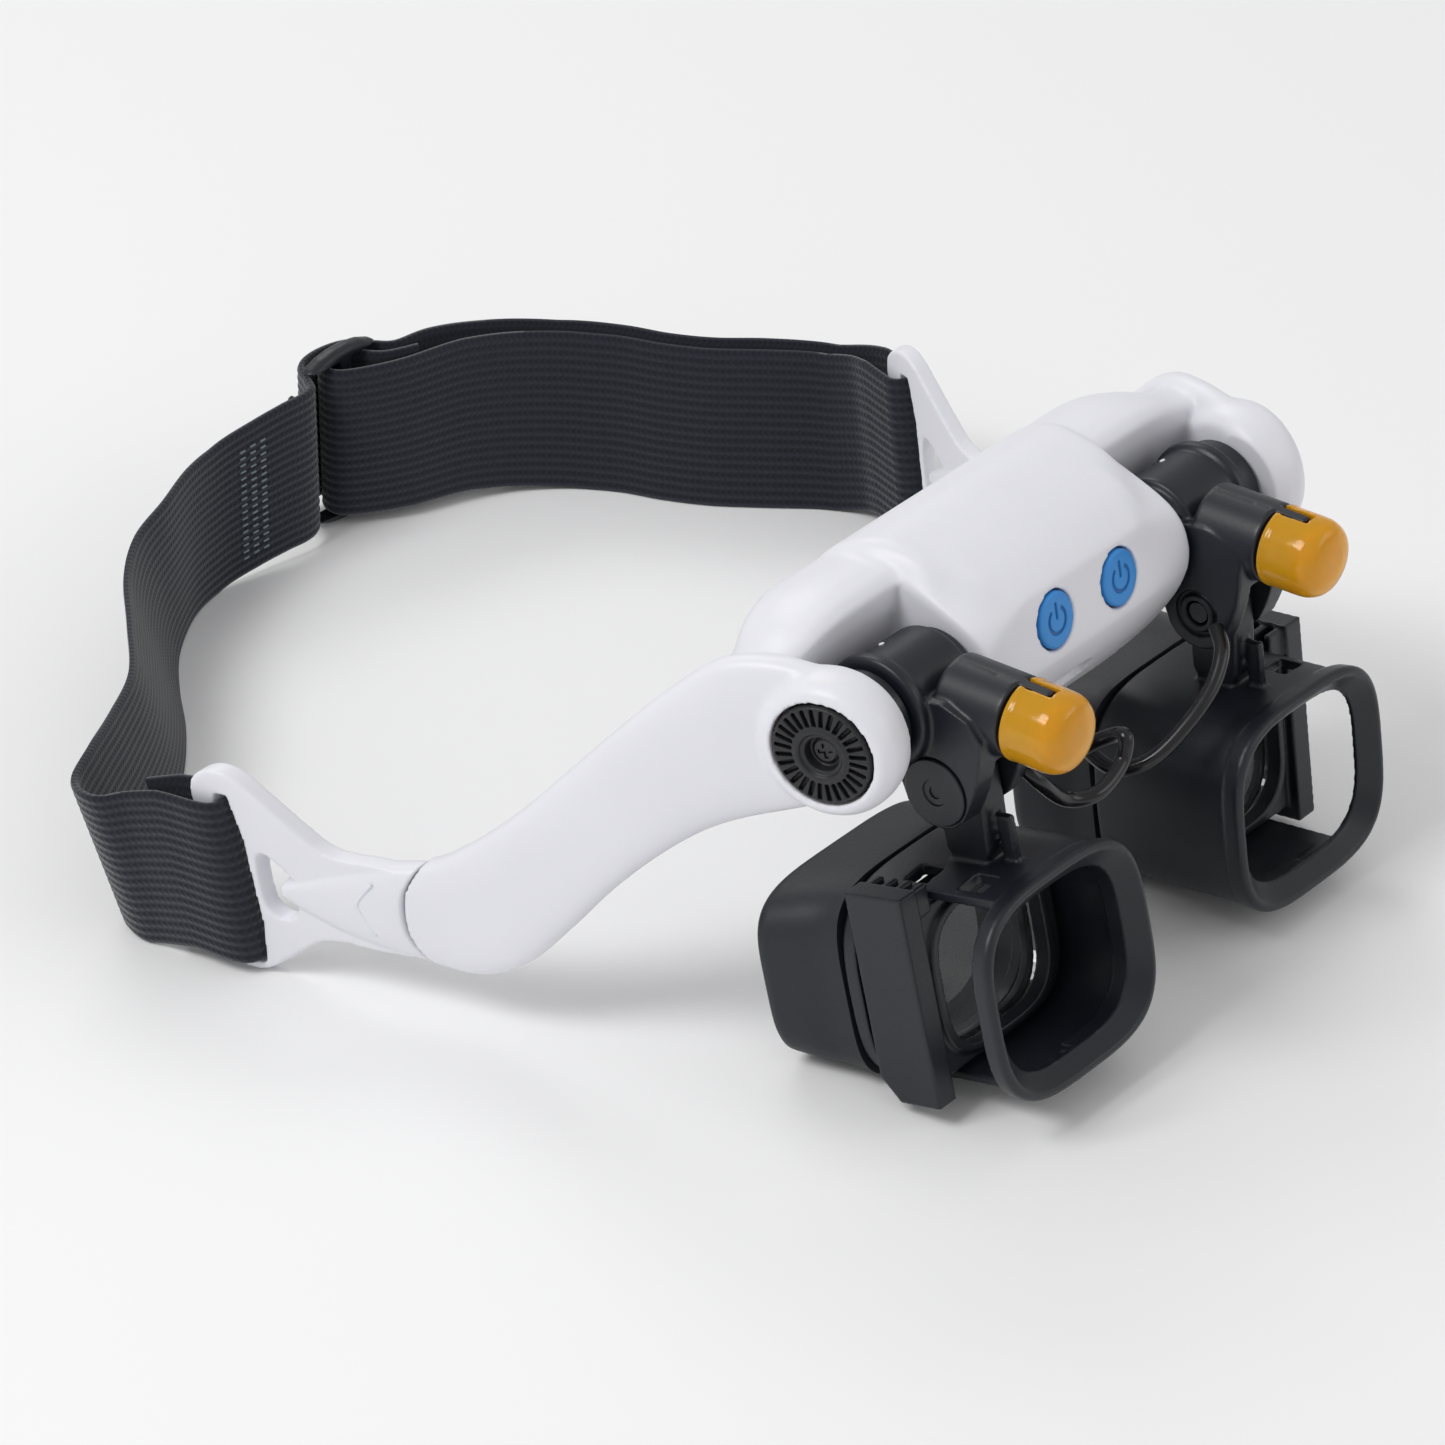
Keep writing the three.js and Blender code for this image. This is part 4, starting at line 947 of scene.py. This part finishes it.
# ------------------------------------------------------------------ head strap
WIDTH, THICKNESS, FOOT, LIFT = 25, 1.3, 0.35, 1.9
RIBS, THREAD_RADIUS = 18, 0.17
RIB_PITCH = WIDTH / RIBS
ROUTE = [
    (-76.5, 114, -1.4, 4.8), (-73.9, 109.7, -1.4, 4.8), (-72.3, 105.6, -1.4, 4.8), (-71.9, 103.2, -1.4, 4.8),
    (-73.9, 101.3, -1.4, 4.8), (-76.5, 101.7, -1.4, 4.8), (-77.8, 103.9, -1.4, 4.8), (-78.4, 108.6, -1.8, 4.8),
    (-79, 114.4, -3, 4.4), (-79.6, 120, -4.9, 3.2), (-76.6, 125.2, -6.2, 2.8), (-68, 130.4, -7.2, 1.8),
    (-57, 136.6, -9.2, 0.2), (-46.4, 143.6, -9.8, -1), (-37.5, 151.4, -9.4, 0.4), (-30.5, 159.2, -7.8, 1.4),
    (-24, 165.6, -6, 0.8), (-17.6, 170.2, -3.2, -0.6), (-10.8, 173.6, -0.8, -0.4), (-3.6, 175, -0.4, -0.4),
    (4, 174.2, 0, -0.2), (11.6, 172.8, 0, 0.2), (15.6, 173.6, 0, 0), (17.6, 176.2, 0, 0),
    (20, 179.6, 0, 0), (24.5, 180.6, 0, 0), (29.4, 179.4, 0, 0), (32, 176, 0, 0),
    (34.2, 173.2, 0, 0.2), (38.6, 171.4, 0.6, 1), (43.8, 168.2, 1.8, 2.2), (49.8, 163.2, 3.2, 2.8),
    (55.6, 156.6, 3.6, 3), (59.6, 149.2, 3.6, 3), (62, 142.2, 3.6, 3), (65.3, 135.8, 3.6, 3.2),
    (70.2, 129.2, 3.6, 3.6), (75.4, 121.2, 2.8, 4.4), (78.6, 113.8, 1.8, 4.8), (78.6, 108.4, 1.4, 4.8),
    (77.8, 103.9, 1.4, 4.8), (76.5, 101.7, 1.4, 4.8), (73.9, 101.3, 1.4, 4.8), (71.9, 103.2, 1.4, 4.8),
    (72.3, 105.6, 1.4, 4.8), (73.6, 109.8, 1.4, 4.8), (74.4, 114, 1.8, 4.8), (72.4, 119.8, 2.8, 4.4),
    (67, 127.3, 3.8, 3.6), (62.2, 134.2, 3.6, 3.2), (58.9, 141, 3.5, 3), (56.4, 148, 3.5, 3),
    (52.2, 154.6, 3.4, 2.8), (45.6, 160.6, 2.8, 2.4), (38.2, 164.6, 1.6, 1.8), (30.6, 167.6, 0.6, 1),
    (25, 171, 0, 0.4), (21.6, 174.2, 0, 0), (22.2, 177.6, 0, 0), (25.6, 178.6, 0, 0),
    (28.3, 176, 0, 0), (30.6, 172, 0.2, 0.4), (35, 169, 0.8, 1),
]


def foot_height(x, y):
    by_buckle = 2 - abs(x - 24.5) / 15 if y > 150 else 0
    by_hook = (118 - y) / 8 if y < 120 else 0
    return FOOT + LIFT * min(1, max(0, by_buckle, by_hook))


def strap_stations(steps):
    """(foot, top, across) of the webbing at each station: across points out of its left face."""
    line = catmull(ROUTE, steps)
    stations = []
    for i, (x, y, lean_x, lean_y) in enumerate(line):
        ahead, behind = line[min(i + 1, len(line) - 1)], line[max(i - 1, 0)]
        across = Vector((behind[1] - ahead[1], ahead[0] - behind[0], 0)).normalized()
        foot = Vector((x, y, foot_height(x, y)))
        rise = math.sqrt(WIDTH ** 2 - lean_x ** 2 - lean_y ** 2)
        stations.append((foot, foot + Vector((lean_x, lean_y, rise)), across))
    return stations


def strap():
    heights = spread(0, 1, RIBS * 6 + 1)
    half = THICKNESS / 2
    rings, marks = [], []
    along = 0
    stations = strap_stations(8)
    for i, (foot, top, across) in enumerate(stations):
        if i:
            along += ((foot + top) / 2 - (stations[i - 1][0] + stations[i - 1][1]) / 2).length
        ring, mark = [], []
        for face in (-1, 1):
            for h in heights if face < 0 else reversed(heights):
                rib = 0.07 * math.cos(2 * math.pi * h * RIBS)
                edge_fade = min(1, min(h, 1 - h) * RIBS * 1.6)
                out = (half - 0.09) * (0.55 + 0.45 * math.sqrt(edge_fade)) - rib * edge_fade
                ring.append(foot.lerp(top, h) + across * out * face)
                mark.append((along, h * WIDTH, face))
        rings.append(ring)
        marks.append(mark)
    piece = piece_of("strap_webbing", loft(rings))
    flat_marks = {tuple(round(c, 3) for c in p): m
                  for ring, mark in zip(rings, marks) for p, m in zip(ring, mark)}
    weave = piece.data.attributes.new("weave", "FLOAT_VECTOR", "POINT")
    for i, vertex in enumerate(piece.data.vertices):
        weave.data[i].vector = flat_marks.get(tuple(round(c, 3) for c in vertex.co), (0, 0, 0))
    finish_piece(piece, webbing, "frame", ["head_strap"])
    crisp(piece, 70)


def strap_point(stations, i, height, lift):
    """A point on the webbing at a station, height from 0 to 1, raised from its middle by lift mm."""
    foot, top, across = stations[i]
    return foot.lerp(top, height) + across * lift


def stitch_run(name, rows, material):
    """Short threads laid on the webbing, each from one point to another."""
    shapes = []
    for start, end in rows:
        path = [start.lerp(end, t) for t in (0, 0.15, 0.5, 0.85, 1)]
        shapes.append(loft(tube_along(path, THREAD_RADIUS, 8)))
    piece = piece_of(name, *shapes)
    finish_piece(piece, material, "frame")


def strap_stitches():
    stations = strap_stations(8)
    half = THICKNESS / 2

    def nearest(x, y):
        spot = Vector((x, y))
        return min(range(len(stations)), key=lambda i: (stations[i][0].xy - spot).length_squared)

    rows = []
    for column, x in enumerate((0.4, 2.6, 4.4)):
        i = nearest(x, 174.8)
        for k in range(17):
            height = 0.12 + 0.046 * k + 0.004 * (column % 2)
            start = strap_point(stations, i, height, -half)
            rows.append((start, strap_point(stations, i + 1, height, -half)))
    stitch_run("bar_tack", rows, stitch_pale)
    for hand, side in SIDES.items():
        i = nearest(side * 78.5, 111.5)
        face = 1 if hand == "right" else -1
        rows = []
        for k in range(15):
            a = strap_point(stations, i, 0.05 + 0.062 * k, -face * half)
            rows.append((a, strap_point(stations, i, 0.05 + 0.062 * k + 0.045, -face * half)))
        stitch_run(f"hook_seam_{hand}", rows, stitch_dark)


webbing = webbing_material()
strap()
strap_stitches()


# ------------------------------------------------------------------ strap buckle
def buckle():
    x0, x1, z0, z1 = 11.8, 37.2, 0.35, 29.6
    middle_x, middle_y = (x0 + x1) / 2, 176

    def outline(inset):
        return rounded([(x0 + inset, z0 + inset), (x1 - inset, z0 + inset), (x1 - inset, z1 - inset),
                        (x0 + inset, z1 - inset)], 3)
    rings = [[(x, middle_y + dy, z) for x, z in outline(inset)] for inset, dy in
             ((0.9, -1.5), (0.3, -1.2), (0, -0.5), (0, 0.5), (0.3, 1.2), (0.9, 1.5))]
    piece = piece_of("buckle_frame", loft(rings))
    for low, high in ((x0 + 2.6, middle_x - 1.2), (middle_x + 1.2, x1 - 2.6)):
        cut(piece, box(low, high, middle_y - 4, middle_y + 4, z0 + 1.6, z1 - 1.9))
    skin(piece, 0.2, 4, 0.6)
    finish_piece(piece, black, "frame", ["strap_buckle"])


buckle()

# ------------------------------------------------------------------ CAD nodes kept as they are
for hand in SIDES:
    carry_over(f"hinge_shaft_{hand}", steel)
    carry_over(f"pivot_pin_{hand}", steel_dark)
carry_over("usb_socket", socket_metal)
carry_over("circuit_board", board)
carry_over("battery", cell)


# ------------------------------------------------------------------ floor and light
def stage():
    floor_mesh = bpy.data.meshes.new("floor")
    floor_mesh.from_pydata([(-4, -4, 0), (4, -4, 0), (4, 4, 0), (-4, 4, 0)], [], [(0, 1, 2, 3)])
    floor = bpy.data.objects.new("floor", floor_mesh)
    scene.collection.objects.link(floor)
    material = new_material("floor", (0.93, 0.93, 0.935), 0.9)
    floor.data.materials.append(material)
    world = bpy.data.worlds.new("studio")
    world.use_nodes = True
    background = world.node_tree.nodes["Background"]
    background.inputs["Color"].default_value = (1.0, 1.0, 1.0, 1)
    background.inputs["Strength"].default_value = 0.5
    scene.world = world
    scene.view_settings.view_transform = "Standard"
    middle = (cad_box[0] + cad_box[1]) / 2

    def softbox(name, offset, size, watts):
        data = bpy.data.lights.new(name, "AREA")
        data.shape, data.size, data.size_y, data.energy = "RECTANGLE", size[0], size[1], watts
        light = bpy.data.objects.new(name, data)
        scene.collection.objects.link(light)
        light.location = middle + Vector(offset)
        light.rotation_mode = "QUATERNION"
        light.rotation_quaternion = (-Vector(offset)).to_track_quat("-Z", "Y")

    softbox("key", (-0.75, 0.25, 0.95), (0.5, 0.5), 7)
    softbox("fill", (0.5, -0.9, 0.55), (0.8, 0.5), 1.6)
    softbox("back", (0.5, 0.8, 0.8), (0.6, 0.4), 2.2)


stage()
